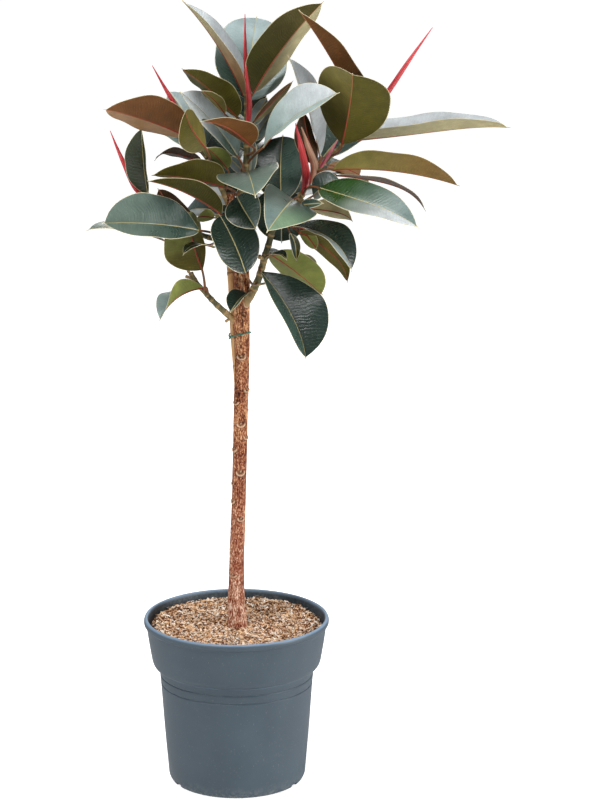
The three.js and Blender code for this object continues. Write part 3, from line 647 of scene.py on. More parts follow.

# Each leaf: base, tip, where its upper side faces, (width, place of the widest part, bluntness),
# (fold, arch, hook, sway, twist), then the tints of the upper side's left and right half and of
# the under side's, where "a>b" runs from the base to the tip. Where halves, or base and tip, differ,
# the tints partly paint light and shade: the lit part paler, the shaded part darker
leafRows = {
    "leaderShoot": [
        ([15, -5, 1090], [-75, -30, 1235], [0.8, -0.1, 0.5], (73, 0.38, 0.1), (30, 8, 0, 0, 0),
         "mist mist clay>straw tan"),
        ([25, 5, 1080], [34, 105, 1195], [0.1, -0.8, 0.6], (112, 0.36, 0.9), (12, 14, 0, -4, 0),
         "slate>bloom grey>bloom olive olive"),
        ([30, -20, 1095], [135, -45, 1235], [-0.5, 0.7, 0.5], (88, 0.42, 0.5), (18, 8, 0, 0, 0),
         "slate slate straw darkOlive>shadowOlive"),
        ([5, -30, 1060], [-75, -80, 1140], [0.4, 0.6, 0.7], (72, 0.42, 0.3), (16, 8, 0, 5, 0),
         "slate slate olive olive"),
        ([-12, -50, 1068], [-45, -100, 1110], [0.3, 0.6, 0.8], (28, 0.55, 0.8), (12, 4, 0, 0, 0),
         "slate slate khaki khaki"),
        ([45, -35, 1015], [158, -120, 1110], [-0.7, -0.4, 0.5], (80, 0.58, 0.5), (30, 12, 0, 0, 0),
         "frost>mist frost tan tan"),
        ([5, -20, 1000], [-80, -40, 1100], [0.7, -0.5, 0.5], (78, 0.48, 0.5), (18, 8, 0, 0, 0),
         "slate>mist grey>mist olive olive"),
        ([26, -70, 1024], [-45, -170, 1075], [0.1, 0.4, 0.9], (64, 0.32, 0.2), (18, 10, 0, 0, 0),
         "slate slate brown brown"),
        ([20, -25, 975], [35, -155, 960], [-0.2, -0.1, 1], (94, 0.45, 0.3), (6, 14, 4, 0, 0),
         "fern fern olive olive"),
        ([15, 5, 970], [-10, 10, 995], [0, -1, 0.2], (18, 0.45, 0.5), (15, 3, 0, 0, 0),
         "bloom grey brown brown"),
        ([25, 0, 970], [30, 10, 1020], [0, -1, 0.2], (16, 0.45, 0.5), (15, 3, 0, 0, 0),
         "bloom grey brown brown"),
        ([30, -15, 1050], [90, -30, 1115], [0.2, 1, 0], (28, 0.45, 0.3), (62, 3, 0, 0, 0),
         "slate slate straw umber"),
        ([25, 10, 1040], [50, 35, 1080], [0.2, -0.9, 0.4], (22, 0.45, 0.5), (12, 4, 0, 0, 0),
         "bloom grey olive olive"),
        ([30, 25, 1015], [70, 50, 1070], [-0.3, -0.7, 0.6], (40, 0.45, 0.6), (12, 4, 0, 0, 0),
         "bloom grey olive olive"),
        ([-15, -31, 954], [-120, -101, 984], [-0.2, 0.6, 0.8], (76, 0.28, 0.1), (26, 8, 0, 4, 0),
         "slate slate olive olive"),
        ([-20, -40, 915], [-125, -125, 980], [0.1, 0.5, 0.9], (60, 0.4, 0.4), (26, 8, 0, 0, 0),
         "slate slate darkOlive olive"),
        ([-5, 15, 925], [-55, 60, 945], [-0.7, -0.7, -0.1], (30, 0.45, 0.5), (15, 4, 0, 0, 0),
         "bloom mist olive olive"),
        ([-30, -20, 905], [-55, -45, 910], [-0.6, 0.7, 0.5], (24, 0.45, 0.5), (12, 3, 0, 0, 0),
         "slate slate moss moss"),
        ([5, -35, 940], [35, -90, 900], [-0.4, -0.75, 0.6], (58, 0.42, 0.4), (10, 6, 0, 0, 0),
         "slate deep olive olive"),
        ([20, 25, 1000], [35, 175, 1035], [-0.1, -0.2, 1], (75, 0.45, 0.5), (14, 14, 4, 0, 0),
         "slate slate olive olive"),
        ([5, 20, 985], [-50, 140, 1035], [-0.2, -0.3, 0.9], (75, 0.45, 0.5), (14, 14, 4, 0, 0),
         "slate slate olive olive"),
        ([20, 20, 1050], [0, 150, 1105], [0.1, -0.4, 0.9], (75, 0.45, 0.5), (14, 16, 4, 0, 0),
         "slate slate olive brown"),
    ],
    "leftShoot": [
        ([-47, -5, 1010], [-100, 30, 1092], [0.5, -0.7, 0.6], (72, 0.42, 0.4), (12, 6, 0, 0, 0),
         "bloom grey>bloom olive olive"),
        ([-55, -10, 1010], [-125, 20, 1045], [0.1, -0.5, 0.8], (50, 0.45, 0.5), (15, 6, 0, 0, 0),
         "grey bloom olive olive"),
        ([-40, -85, 1022], [-68, -140, 1086], [-0.9, 0.5, 0.1], (58, 0.42, 0.3), (15, 6, 0, 0, 0),
         "slate slate khaki olive"),
        ([-68, -60, 1035], [-188, -125, 1086], [-0.1, 0.7, 0.7], (88, 0.42, 0.3), (22, 6, 0, 0, 0),
         "slate slate brown clay"),
        ([-50, 5, 988], [-119, -25, 993], [-0.1, 0.4, 0.9], (42, 0.5, 0.7), (8, 6, 8, 0, 0),
         "grey grey umber umber"),
        ([-10, -20, 980], [-40, -70, 1020], [0, 0.6, 0.8], (36, 0.45, 0.5), (15, 4, 0, 0, 0),
         "slate slate moss moss"),
        ([-50, 10, 1000], [-105, 125, 1035], [-0.1, -0.3, 0.9], (65, 0.45, 0.5), (14, 14, 4, 0, 0),
         "slate slate olive olive"),
    ],
    "farLeftShoot": [
        ([-130, -10, 940], [-137, -35, 1047], [-0.6, -0.75, 0.2], (58, 0.48, 0.3), (38, 3, 0, 0, 0),
         "forest forest olive olive"),
        ([-52, -70, 895], [-193, -135, 918], [0.4, -0.6, 0.7], (90, 0.53, 0.8), (26, 8, 0, 0, 0),
         "slate>fern slate>fern olive olive"),
        ([-105, -20, 870], [-220, -70, 895], [0.2, 0, 1], (60, 0.45, 0.4), (6, 8, 4, 0, 0),
         "fern fern moss moss"),
        ([-30, -58, 867], [-75, -90, 861], [-0.1, 0, 1], (36, 0.45, 0.5), (5, 8, 4, 0, 0),
         "deep deep moss khaki"),
        ([-55, 40, 860], [-118, 40, 940], [-0.4, 0.9, -0.3], (48, 0.45, 0.6), (15, 6, 0, 0, 0),
         "slate slate umber umber"),
    ],
    "lowLeftBranch": [
        ([-48, -45, 830], [-68, -60, 922], [-0.7, 0.7, -0.1], (94, 0.42, 0.8), (28, 6, 0, 0, 0),
         "slate slate olive>moss olive>moss"),
        ([-47, -32, 799], [-112, -75, 757], [-0.5, 0.2, 0.9], (56, 0.45, 0.7), (38, 12, 0, 0, 80),
         "bloom frost moss moss"),
    ],
    "rightBranch": [
        ([18, -70, 830], [-22, -45, 915], [0.5, -0.8, 0.4], (78, 0.5, 0.9), (10, 6, 0, 0, 0),
         "deep deep olive olive"),
        ([90, -60, 940], [51, -165, 910], [0.4, -0.4, 0.8], (86, 0.28, 0.2), (8, 15, 0, 0, 0),
         "slate>sage fern>grey olive olive"),
        ([72, 5, 925], [74, 55, 1020], [-0.3, -0.9, 0.4], (84, 0.5, 0.8), (15, 8, 0, 0, 0),
         "deep slate olive olive"),
        ([130, -75, 960], [276, -150, 913], [0, -0.5, 0.9], (76, 0.38, 0.4), (14, 10, 5, 4, 0),
         "fresh>grey fresh>mist tan tan"),
        ([120, -48, 944], [160, -65, 972], [-0.6, -0.6, 0.5], (46, 0.45, 0.8), (20, 5, 0, 0, 0),
         "slate grey olive olive"),
        ([100, -55, 930], [135, -90, 940], [-0.7, -0.6, 0.4], (16, 0.45, 0.5), (15, 3, 0, 0, 0),
         "slate slate olive olive"),
        ([115, -25, 920], [180, -50, 904], [0.35, 0.75, 0.55], (40, 0.42, 0.3), (15, 6, 4, 0, 0),
         "slate slate straw straw"),
        ([90, -40, 895], [178, -80, 833], [0.5, -0.3, 0.8], (82, 0.5, 0.7), (20, 20, 3, 0, 0),
         "deep deep>bloom olive olive"),
        ([98, -22, 884], [172, -58, 812], [0.3, 0.8, 0.4], (40, 0.45, 0.7), (14, 16, 6, 0, 0),
         "slate slate olive olive"),
        ([100, -20, 890], [125, -35, 860], [0.3, 0.9, -0.2], (22, 0.45, 0.8), (15, 4, 0, 0, 0),
         "slate slate moss moss"),
        ([85, -40, 885], [95, -50, 845], [0.4, -0.9, 0.3], (16, 0.45, 0.3), (15, -6, -4, -7, 0),
         "darkOlive slate olive darkOlive"),
        ([55, -35, 850], [80, -50, 845], [0.1, -0.2, 1], (24, 0.45, 0.5), (20, 4, 3, 0, 0),
         "deep slate olive olive"),
        ([55, -15, 848], [135, 5, 780], [0.2, 0.8, 0.5], (66, 0.5, 0.9), (18, 4, 0, 0, 0),
         "slate slate moss moss"),
        ([40, -35, 825], [109, -105, 703], [0.5, -0.6, 0.6], (108, 0.56, 0.9), (34, 10, 3, -5, 0),
         "deep slate olive olive"),
        ([20, -30, 790], [-5, -65, 768], [-0.2, -0.4, 0.9], (40, 0.45, 0.6), (38, 4, 0, 0, 0),
         "slate deep olive olive"),
        ([60, 15, 838], [110, 120, 780], [0.1, 0, 1], (70, 0.45, 0.5), (14, 14, 4, 0, 0),
         "deep slate olive olive"),
    ],
    "upperRightShoot": [
        ([195, -45, 1055], [98, -100, 1229], [0.7, 0.4, 0.6], (78, 0.42, 0.2), (25, 6, 0, 0, 0),
         "slate slate brown brown"),
        ([163, -60, 1025], [176, -170, 1145], [0.35, 0.72, 0.6], (120, 0.43, 1.0), (20, 12, 0, 0, 0),
         "slate slate olive darkOlive>khaki"),
        ([130, 15, 995], [82, -50, 1155], [0.9, -0.3, 0.1], (74, 0.5, 0.1), (20, 6, 0, 0, 0),
         "mist mist tan tan"),
        ([125, -35, 990], [105, -40, 1070], [-0.7, 0.7, -0.1], (44, 0.45, 0.5), (20, 4, 0, 0, 0),
         "slate slate umber umber"),
        ([180, -5, 1021], [420, 30, 1035], [-0.1, 0, 1], (98, 0.28, 1.0), (27, 1, 4, 0, 0),
         "mist mist straw straw"),
        ([150, -55, 985], [338, -95, 967], [0.2, 0.5, 0.9], (88, 0.43, 0.8), (21, 10, 0, 0, 0),
         "slate slate khaki>bronze khaki>bronze"),
        ([155, -20, 970], [290, -30, 917], [0.4, 0.2, 0.9], (64, 0.5, 0.8), (8, 12, 8, 0, 0),
         "grey grey rose umber"),
        ([143, 0, 982], [192, 20, 963], [-0.1, 0.6, 0.8], (42, 0.5, 0.9), (8, 4, 0, 0, 0),
         "clay clay clay clay"),
        ([135, 25, 990], [210, 120, 1035], [0.2, -0.3, 0.9], (75, 0.45, 0.5), (14, 14, 4, 0, 0),
         "slate slate olive brown"),
        ([125, 20, 970], [195, 125, 920], [0.2, -0.3, 0.9], (70, 0.45, 0.5), (14, 14, 4, 0, 0),
         "slate slate olive olive"),
    ],
    "backShoot": [
        ([35, 60, 950], [85, 190, 975], [0.1, -0.2, 1], (70, 0.45, 0.5), (14, 14, 4, 0, 0),
         "slate slate olive brown"),
        ([15, 90, 930], [20, 245, 950], [0, -0.1, 1], (85, 0.45, 0.5), (14, 16, 4, 0, 0),
         "slate slate olive olive"),
        ([70, 90, 910], [165, 170, 905], [0, -0.2, 1], (75, 0.45, 0.5), (14, 14, 4, 0, 0),
         "slate grey olive olive"),
        ([-5, 75, 915], [-75, 185, 945], [-0.2, -0.3, 0.9], (75, 0.45, 0.5), (14, 14, 4, 0, 0),
         "slate slate olive olive"),
        ([-15, 80, 895], [-90, 170, 865], [-0.3, -0.3, 0.9], (70, 0.45, 0.5), (14, 12, 4, 0, 0),
         "grey slate olive olive"),
        ([5, 60, 885], [-10, 190, 845], [0, -0.2, 1], (85, 0.45, 0.5), (14, 20, 4, 0, 0),
         "slate slate olive olive"),
        ([69, 60, 936], [72, 10, 860], [0.1, -0.8, 0.5], (84, 0.5, 1.0), (8, 6, 0, 0, 0),
         "deep deep olive olive"),
        ([20, 95, 910], [75, 210, 865], [0.1, 0.2, 1], (70, 0.45, 0.5), (14, 16, 4, 0, 0),
         "slate slate olive olive"),
    ],
}
# Each stem's line: x, y, z, radius
stemLines = {
    "leaderShoot": [
        (3, -3, 883, 8), (7, -4, 922, 7), (14, -7, 953, 6), (18, -9, 979, 5), (20, -10, 1019, 4.6),
        (20, -10, 1052, 4.2), (20, -9, 1083, 3.8), (20, -9, 1095, 3.4)],
    "leftShoot": [(-6, -3, 917, 4.5), (-24, -12, 961, 4), (-39, -22, 994, 3.6), (-46, -26, 1009, 3.2)],
    "farLeftShoot": [(-4, 4, 863, 4.5), (-33, 2, 869, 4), (-60, 8, 878, 3.8), (-95, 8, 904, 3.4),
                     (-125, 0, 930, 3)],
    "lowLeftBranch": [(2, 0, 739, 5), (-30, -14, 772, 4.2), (-45, -20, 790, 3.8), (-57, -24, 805, 3.6),
                      (-66, -26, 821, 3.6)],
    "rightBranch": [
        (11, -2, 761, 7), (27, -12, 788, 6), (36, -18, 808, 5.4), (42, -22, 828, 5.2), (47, -25, 847, 5),
        (53, -27, 867, 4.8), (59, -28, 888, 4.5), (76, -28, 912, 4), (94, -28, 929, 3.6),
        (105, -30, 942, 3.2)],
    "upperRightShoot": [(91, -28, 926, 3.6), (112, -22, 957, 3.4), (130, -18, 981, 3.2),
                        (153, -16, 1005, 3), (175, -18, 1029, 2.8), (193, -20, 1049, 2.6)],
    "backShoot": [(4, 4, 869, 6), (8, 30, 900, 5), (17, 55, 919, 4.5), (23, 78, 930, 4)],
}
# Cut twigs and spent buds on the stems: from, to, radius
twigStubs = {
    "lowLeftBranch": [([-61, -25, 811], [-74, -21, 815], 2.1), ([-64, -26, 817], [-70, -34, 826], 1.9),
                      ([-6, -4, 746], [-14, -10, 742], 2.0)],
    "rightBranch": [([38, -16, 801], [55, -12, 804], 1.8), ([45, -26, 842], [38, -32, 848], 3.0)],
    "leaderShoot": [([14, -8, 955], [7, -14, 960], 1.9)],
}
cadNames = {
    "leaderShoot": "leader_shoot", "leftShoot": "left_shoot", "farLeftShoot": "far_left_shoot",
    "lowLeftBranch": "low_left_branch", "rightBranch": "right_branch",
    "upperRightShoot": "upper_right_shoot", "backShoot": "back_shoot",
}


def makeStem(pile, points, around=14):
    line = splineThrough(points, 14)
    path, radii = line[:, :3], line[:, 3].copy()
    travelled = travelledAlong(path)
    scars = np.zeros(len(path))
    at = dice.uniform(6, 12)
    while at < travelled[-1]:
        near = np.exp(-((travelled - at) / 1.3) ** 2)
        scars = np.maximum(scars, near)
        radii += 0.45 * near + 0.25 * np.exp(-((travelled - at) / 4) ** 2)
        at += dice.uniform(9, 20)
    turn = fullTurn(around)
    rough = np.array([[noise.noise(Vector((math.cos(w) * 1.5, math.sin(w) * 1.5, d * 0.15))) for w in turn]
                      for d in travelled])
    made, faces = tube(path, radii[:, None] * (1 + 0.05 * rough), around)
    place = np.stack([np.repeat(travelled, around), np.tile(turn, len(path)),
                      np.repeat(scars, around) * 0.7], axis=1)
    pile.add(made, faces, [0] * len(faces), stemPlace=place)
    return line


def makeShoot(name):
    leaves, stems = MeshPile(), MeshPile()
    line = makeStem(stems, stemLines[name])
    rings, around = 8, 10
    pastPaleFoot = 40   # mm along a stem, where the paler tint of its foot has ended
    for start, end, radius in twigStubs.get(name, []):
        swell = radius * (1 + 0.25 * np.exp(-((np.linspace(0, 1, rings) - 0.85) / 0.15) ** 2))
        made, faces = tube(np.linspace(start, end, rings), swell, around)
        mark = np.repeat(np.linspace(0.1, 0.8, rings), around)
        place = np.stack([np.full_like(mark, pastPaleFoot), np.zeros_like(mark), mark], axis=1)
        stems.add(made, faces, [0] * len(faces), stemPlace=place)
    for row in leafRows[name]:
        makeLeaf(leaves, line, row)
    leaves.finished(name + "Leaves", [upperSide, underSide, stalkSkin], cadNames[name], "foliage")
    stems.finished(name + "Stem", [youngStemSkin], cadNames[name], "foliage")


for name in leafRows:
    makeShoot(name)
print("shoots made:", len(leafRows))


# pot: a turned wall with a rolled lip, two grooves and drainage notches

potValues = {
    "segments": 224, "arcSteps": 7, "longestStep": 12,
    # the lip and step heights below, with the edge colour, make a painted highlight: a lighter blue on the
    # rounded lip and, fainter, on the step under the collar
    "height": 266, "lipHighlight": 265.2, "stepHighlight": 186.5, "ledge": 190, "floorTop": 5,
    "notches": 3, "notchWidth": 16, "notchTop": 6.5, "notchReach": 99, "notchDepth": 14, "startDegrees": 90,
    # the inner colour is painted shade for the inside wall above the ledge
    "colour": "3d4a54", "blotch": "6b7c86", "grain": "3f4c54", "inner": "232a30", "edge": "86a0ba",
    "dust": "8a8f8c", "speck": "b9b4a6",
    # outer side from the base up: radius, height, how round the corner is
    "outside": [(98, 0, 0), (104.2, 1.2, 1.5), (108, 8, 3), (114.3, 84, 0), (119.3, 157, 0),
                (119.6, 159.2, 0.7),
                (118.3, 160.6, 0.8), (119.8, 162.4, 0.7), (120.6, 171.2, 0), (120.7, 173, 0.7),
                (119.5, 174.4, 0.8), (120.9, 176.2, 0.7), (122.1, 186.4, 2.5), (129.8, 189.4, 3),
                (132.7, 196.5, 3), (137.6, 226, 0), (141.5, 253.5, 1.5), (145, 255.6, 2.2), (145.6, 261, 2.4),
                (143.6, 265.7, 2.2), (139.6, 265.6, 1.8), (138.7, 258, 2)],
    "inside": [(130.1, 199, 3), (118.6, 190, 3), (116.8, 158, 0), (105.4, 9, 3), (103, 5, 0.8), (0, 5, 0)],
}


# a corner is replaced by a short arc, so that no edge is sharper than moulded plastic has
def roundedProfile(corners, steps):
    made = [corners[0][:2]]
    for before, (x, y, radius), after in zip(corners, corners[1:], corners[2:]):
        here = np.array([x, y])
        back, ahead = np.array(before[:2]) - here, np.array(after[:2]) - here
        if radius == 0:
            made.append((x, y))
            continue
        reach = min(radius, 0.48 * np.linalg.norm(back), 0.48 * np.linalg.norm(ahead))
        start, end = here + unit(back) * reach, here + unit(ahead) * reach
        for s in np.linspace(0, 1, steps):
            made.append(tuple((1 - s) ** 2 * start + 2 * s * (1 - s) * here + s * s * end))
    made.append(corners[-1][:2])
    return np.array(made)


def denser(profile, longest):
    made = [profile[0]]
    for a, b in zip(profile, profile[1:]):
        count = max(1, math.ceil(np.linalg.norm(b - a) / longest))
        made += [a + (b - a) * k / count for k in range(1, count + 1)]
    return np.array(made)


def turned(profile, segments):
    turn = fullTurn(segments)
    rings = profile[:, None, 0] * np.stack([np.cos(turn), np.sin(turn)])[:, None, :]
    points = np.stack([rings[0], rings[1], np.repeat(profile[:, 1:2], segments, axis=1)], axis=2)
    return points, turn


def potMaterial(look):
    material, tree, shader = newMaterial("potPlastic", Roughness=0.5, Specular_IOR_Level=0.45)
    point = objectPoint(tree)
    mottle = useGroup(tree, mottleGroup, Point=point, Blotch=14.0, Speck=260.0)
    fine = useGroup(tree, mottleGroup, Point=objectPoint(tree, (1, 1, 0.25)), Blotch=60.0, Speck=900.0)
    base = blendColours(tree, times(tree, mottle["Tone"], 0.16), look["colour"], look["blotch"])
    base = blendColours(tree, times(tree, fine["Tone"], 0.1), base, look["grain"])
    # painted shade on the inside wall above the ledge
    inner = readAttribute(tree, "innerWallShade").outputs["Fac"]
    base = blendColours(tree, times(tree, inner, 0.65), base, look["inner"])
    # painted highlight on the lip and, fainter, on the step under the collar
    litEdge = readAttribute(tree, "edgeHighlight").outputs["Fac"]
    base = blendColours(tree, times(tree, litEdge, 0.75), base, look["edge"])
    dusty = readAttribute(tree, "dusty").outputs["Fac"]
    dustShare = times(tree, dusty, remap(tree, noiseAt(tree, point, 190.0, 5.0, 0.7), 0.45, 0.7))
    base = blendColours(tree, dustShare, base, look["dust"])
    base = blendColours(tree, times(tree, fine["Specks"], 0.28), base, look["speck"])
    tree.links.new(base, shader.inputs["Base Color"])
    rough = remap(tree, mottle["Tone"], 0, 1, 0.42, 0.55)
    tree.links.new(plus(tree, rough, times(tree, dustShare, 0.3)), shader.inputs["Roughness"])
    addBump(tree, shader, noiseAt(tree, point, 900.0, 2.0), 0.12, 0.0003)
    return material


def cutNotches(piece, values):
    for i in range(values["notches"]):
        angle = math.radians(values["startDegrees"] + 360 / values["notches"] * i)
        near, half = values["notchReach"], values["notchWidth"] / 2
        corners = [(x, y, z) for x in (near, near + values["notchDepth"]) for y in (-half, half)
                   for z in (-3, values["notchTop"])]
        turnedCorners = [(x * math.cos(angle) - y * math.sin(angle),
                          x * math.sin(angle) + y * math.cos(angle), z) for x, y, z in corners]
        mesh = bpy.data.meshes.new("notchTool")
        mesh.from_pydata([[c * mm for c in p] for p in turnedCorners], [],
                         [(0, 1, 3, 2), (4, 6, 7, 5), (0, 4, 5, 1), (2, 3, 7, 6), (0, 2, 6, 4), (1, 5, 7, 3)])
        tool = bpy.data.objects.new("notchTool", mesh)
        bpy.context.scene.collection.objects.link(tool)
        cut = piece.modifiers.new("notch", "BOOLEAN")
        cut.operation, cut.object, cut.solver = "DIFFERENCE", tool, "EXACT"
        finished = piece.evaluated_get(bpy.context.evaluated_depsgraph_get())
        cutMesh = bpy.data.meshes.new_from_object(finished)
        piece.modifiers.clear()
        piece.data = cutMesh
        bpy.data.objects.remove(tool)


def makePot(values):
    profile = roundedProfile(values["outside"] + values["inside"], values["arcSteps"])
    profile = denser(profile, values["longestStep"])
    rings, turn = turned(profile[:-1], values["segments"])
    # moulded plastic is never quite round
    wave = 1 + 0.0012 * np.cos(2 * turn + 0.7) + 0.0008 * np.cos(3 * turn)
    high = np.clip(profile[:-1, 1] / values["height"], 0, 1)[:, None]
    rings[:, :, :2] *= (1 + (wave[None] - 1) * high)[:, :, None]
    count = values["segments"]
    points = rings.reshape(-1, 3)
    faces = ringFaces(len(rings), count, closeEnds=False)
    bottom, top = len(points), len(points) + 1
    points = np.vstack([points, [[0, 0, 0], [0, 0, values["floorTop"]]]])
    last = (len(rings) - 1) * count
    for i in range(count):
        faces.append((bottom, (i + 1) % count, i))
        faces.append((top, last + i, last + (i + 1) % count))
    heights, reach = points[:, 2], np.hypot(points[:, 0], points[:, 1])
    # painted highlight, a lighter blue, on the rounded lip and, fainter, on the step under the collar
    litEdge = np.exp(-((heights - values["lipHighlight"]) / 1.8) ** 2) * (reach > 138)
    stepHighlight = 0.25 * np.exp(-((heights - values["stepHighlight"]) / 1.5) ** 2) * (reach > 121)
    litEdge = np.maximum(litEdge, stepHighlight)
    ringNumbers = np.append(np.repeat(np.arange(len(rings)), count), [0, len(rings)])
    insideWall = ringNumbers > np.argmax(profile[:, 1])
    dusty = np.clip(1 - heights / 16, 0, 1) * 0.8 + 0.25 * insideWall * (heights > 235)
    # painted shade on the inside wall above the ledge, fading out just under the lip
    inner = insideWall * (heights > values["ledge"]) * np.clip((264 - heights) / 3, 0, 1)
    pot = makePiece("nurseryPot", points, faces, [potMaterial(values)], "pot",
                    {"edgeHighlight": ("FLOAT", litEdge), "dusty": ("FLOAT", dusty), "innerWallShade": ("FLOAT", inner)})
    cutNotches(pot, values)


makePot(potValues)
print("pot made")


# soil: a rough mound with chips, crumbs, fibres and white grains lying on it

soilValues = {
    "edge": 258, "rise": -8, "wallDrop": 11, "shoulder": 125.5, "reach": 136.8,
    "rings": 150, "segments": 300, "floor": 5.6,
    # the side that lies against the pot's wall, from the base up: radius, height
    "side": [(102.4, 5.6), (104.6, 9.6), (116, 158), (117.8, 190.4), (129.3, 199.4), (136, 240)],
    "chips": 5200, "crumbs": 2400, "fibres": 900, "whiteGrains": 240,
    # long pale straws: where each starts, and its length
    "straws": [(-34, 62, 34), (-30, 70, 30), (-44, 54, 24), (38, 96, 16), (72, 84, 14), (20, -60, 20),
               (66, -30, 18)],
    "tones": [(0.0, "22120c"), (0.18, "704228"), (0.42, "d29c70"), (0.7, "f4cca0"), (1.0, "fffaf2")],
}


def flatNoise(x, y, scale, level):
    return noise.noise(Vector((x * scale, y * scale, level)))


def soilHeight(x, y):
    reach = math.hypot(x, y)
    mound = soilValues["edge"] + soilValues["rise"] * (1 - (reach / soilValues["reach"]) ** 2)
    beyond = max(0, (reach - soilValues["shoulder"]) / (soilValues["reach"] - soilValues["shoulder"]))
    mound -= soilValues["wallDrop"] * min(1, beyond)
    rough = 2.2 * flatNoise(x, y, 0.045, 1) + 1.6 * flatNoise(x, y, 0.13, 5) + 0.9 * flatNoise(x, y, 0.4, 9)
    return mound + rough - 1.0


def soilMaterial(values):
    material, tree, shader = newMaterial("pottingSoil", Roughness=0.95, Specular_IOR_Level=0.1)
    tone = readAttribute(tree, "soilTone").outputs["Fac"]
    fine = noiseAt(tree, objectPoint(tree), 900.0, 3.0)
    mixed = calc(tree, "ADD", tone, remap(tree, fine, 0.3, 0.7, -0.12, 0.12), clamp=True)
    tree.links.new(ramp(tree, mixed, values["tones"]), shader.inputs["Base Color"])
    addBump(tree, shader, fine, 0.5, 0.0006)
    return material


def makeSoil(values):
    points, tones = [], []
    reaches = np.linspace(0, 1, values["rings"] + 1)[1:] ** 0.8 * values["reach"]
    segments = values["segments"]
    turn = fullTurn(segments)
    for reach, height in values["side"]:
        points += [(reach * math.cos(w), reach * math.sin(w), height) for w in turn]
    tones += [0.1] * len(points)
    for reach in reaches[::-1]:
        for w in turn:
            x, y = reach * math.cos(w), reach * math.sin(w)
            rough = 0.8 * flatNoise(x, y, 0.9, 3) * min(1, (values["reach"] - reach) * 0.5 + 0.3)
            points.append((x, y, soilHeight(x, y) + rough))
            # the mound under the chips is dark: the soil's own dark tone and painted shade for the gaps
            # between the chips
            tones.append(0.16 + 0.3 * flatNoise(x, y, 0.35, 7))
    faces = ringFaces(len(values["side"]) + len(reaches), segments, closeEnds=False)
    middle = len(points)
    points += [(0, 0, soilHeight(0, 0)), (0, 0, values["floor"])]
    tones += [0.3, 0.1]
    last = middle - segments
    for i in range(segments):
        faces.append((middle, last + i, last + (i + 1) % segments))
        faces.append((middle + 1, (i + 1) % segments, i))

    def spotOnTop(inner, outer=None):
        outer = outer or values["reach"] - 2.5
        reach = math.sqrt(random.uniform(inner ** 2, outer ** 2))
        w = random.uniform(0, 2 * math.pi)
        return reach * math.cos(w), reach * math.sin(w)

    # a chip is a bent, uneven slab: 3 rings of 4 corners
    def addChip(x, y, length, breadth, depth, lift, tone):
        heading, pitch, roll = random.uniform(0, 2 * math.pi), random.gauss(0, 0.35), random.gauss(0, 0.5)
        level = math.cos(pitch)
        ahead = Vector((math.cos(heading) * level, math.sin(heading) * level, math.sin(pitch)))
        sideways = Vector((-math.sin(heading), math.cos(heading), 0)) * math.cos(roll)
        sideways += Vector((0, 0, math.sin(roll)))
        sideways = (sideways - ahead * sideways.dot(ahead)).normalized()
        upward = ahead.cross(sideways)
        centre = Vector((x, y, soilHeight(x, y) + lift))
        bend = random.uniform(-0.18, 0.18) * length
        first = len(points)
        for k, s in enumerate((-0.5, 0.0, 0.5)):
            shrink = random.uniform(0.35, 0.9) if k != 1 else 1
            for a, b in ((-1, -1), (1, -1), (1, 1), (-1, 1)):
                p = (centre + ahead * (s * length + random.uniform(-0.1, 0.1) * length)
                     + sideways * (a * breadth / 2 * shrink + bend * (1 - abs(2 * s)) * 0.5)
                     + upward * (b * depth / 2 * shrink))
                points.append(tuple(p))
                tones.append(min(1, max(0, tone + random.uniform(-0.05, 0.05))))
        faces.extend(ringFaces(3, 4, first))

    for _ in range(values["chips"]):
        x, y = spotOnTop(18.5)
        length = min(10, random.lognormvariate(1.25, 0.42))
        tone = random.choice((random.uniform(0.08, 0.3), random.uniform(0.5, 0.72),
                              random.uniform(0.6, 0.85), random.uniform(0.8, 1.0)))
        addChip(x, y, length, length * random.uniform(0.25, 0.6), random.uniform(0.5, 1.3),
                random.uniform(-0.2, 1.6), tone)
    for _ in range(values["crumbs"]):
        x, y = spotOnTop(18.0)
        size = random.uniform(0.8, 2.6)
        addChip(x, y, size, size * 0.8, size * 0.7, random.uniform(0, 1.4),
                random.choice((0.05, 0.15, 0.5, 0.65)))
    for _ in range(values["whiteGrains"]):
        x, y = spotOnTop(19)
        size = random.uniform(0.9, 2.3)
        addChip(x, y, size, size * 0.9, size * 0.8, random.uniform(0.8, 1.8), 1.0)

    def addStrand(line, radius, tone):
        made, strandFaces = tube(line, np.linspace(radius, radius * 0.5, len(line)), 4)
        first = len(points)
        points.extend(map(tuple, made))
        faces.extend(tuple(i + first for i in f) for f in strandFaces)
        tones.extend([tone] * len(made))

    def strandLine(x, y, length, curl, lift):
        heading, z = random.uniform(0, 2 * math.pi), soilHeight(x, y) + lift
        slope, turnRate = random.uniform(-0.1, 0.35), random.gauss(0, curl)
        line, steps = [], 6
        for _ in range(steps + 1):
            line.append((x, y, max(z, soilHeight(x, y) + 0.3)))
            heading += turnRate
            x += math.cos(heading) * length / steps
            y += math.sin(heading) * length / steps
            z += slope * length / steps
            slope -= 0.12
            if math.hypot(x, y) > values["reach"] - 2:
                heading += math.pi * 0.6
        return np.array(line)

    for _ in range(values["fibres"]):
        x, y = spotOnTop(20, values["reach"] - 6)
        line = strandLine(x, y, random.uniform(5, 18), 0.3, random.uniform(0.6, 2))
        addStrand(line, random.uniform(0.18, 0.42), random.uniform(0.35, 0.95))
    for x, y, length in values["straws"]:
        line = strandLine(x, y, length, 0.12, 2.2)
        addStrand(line, 0.75, random.uniform(0.75, 0.92))
    makePiece("soilMound", points, faces, [soilMaterial(values)], "soil",
              {"soilTone": ("FLOAT", tones)})


makeSoil(soilValues)
print("soil made")


# trunk: streaked bark with leaf scars

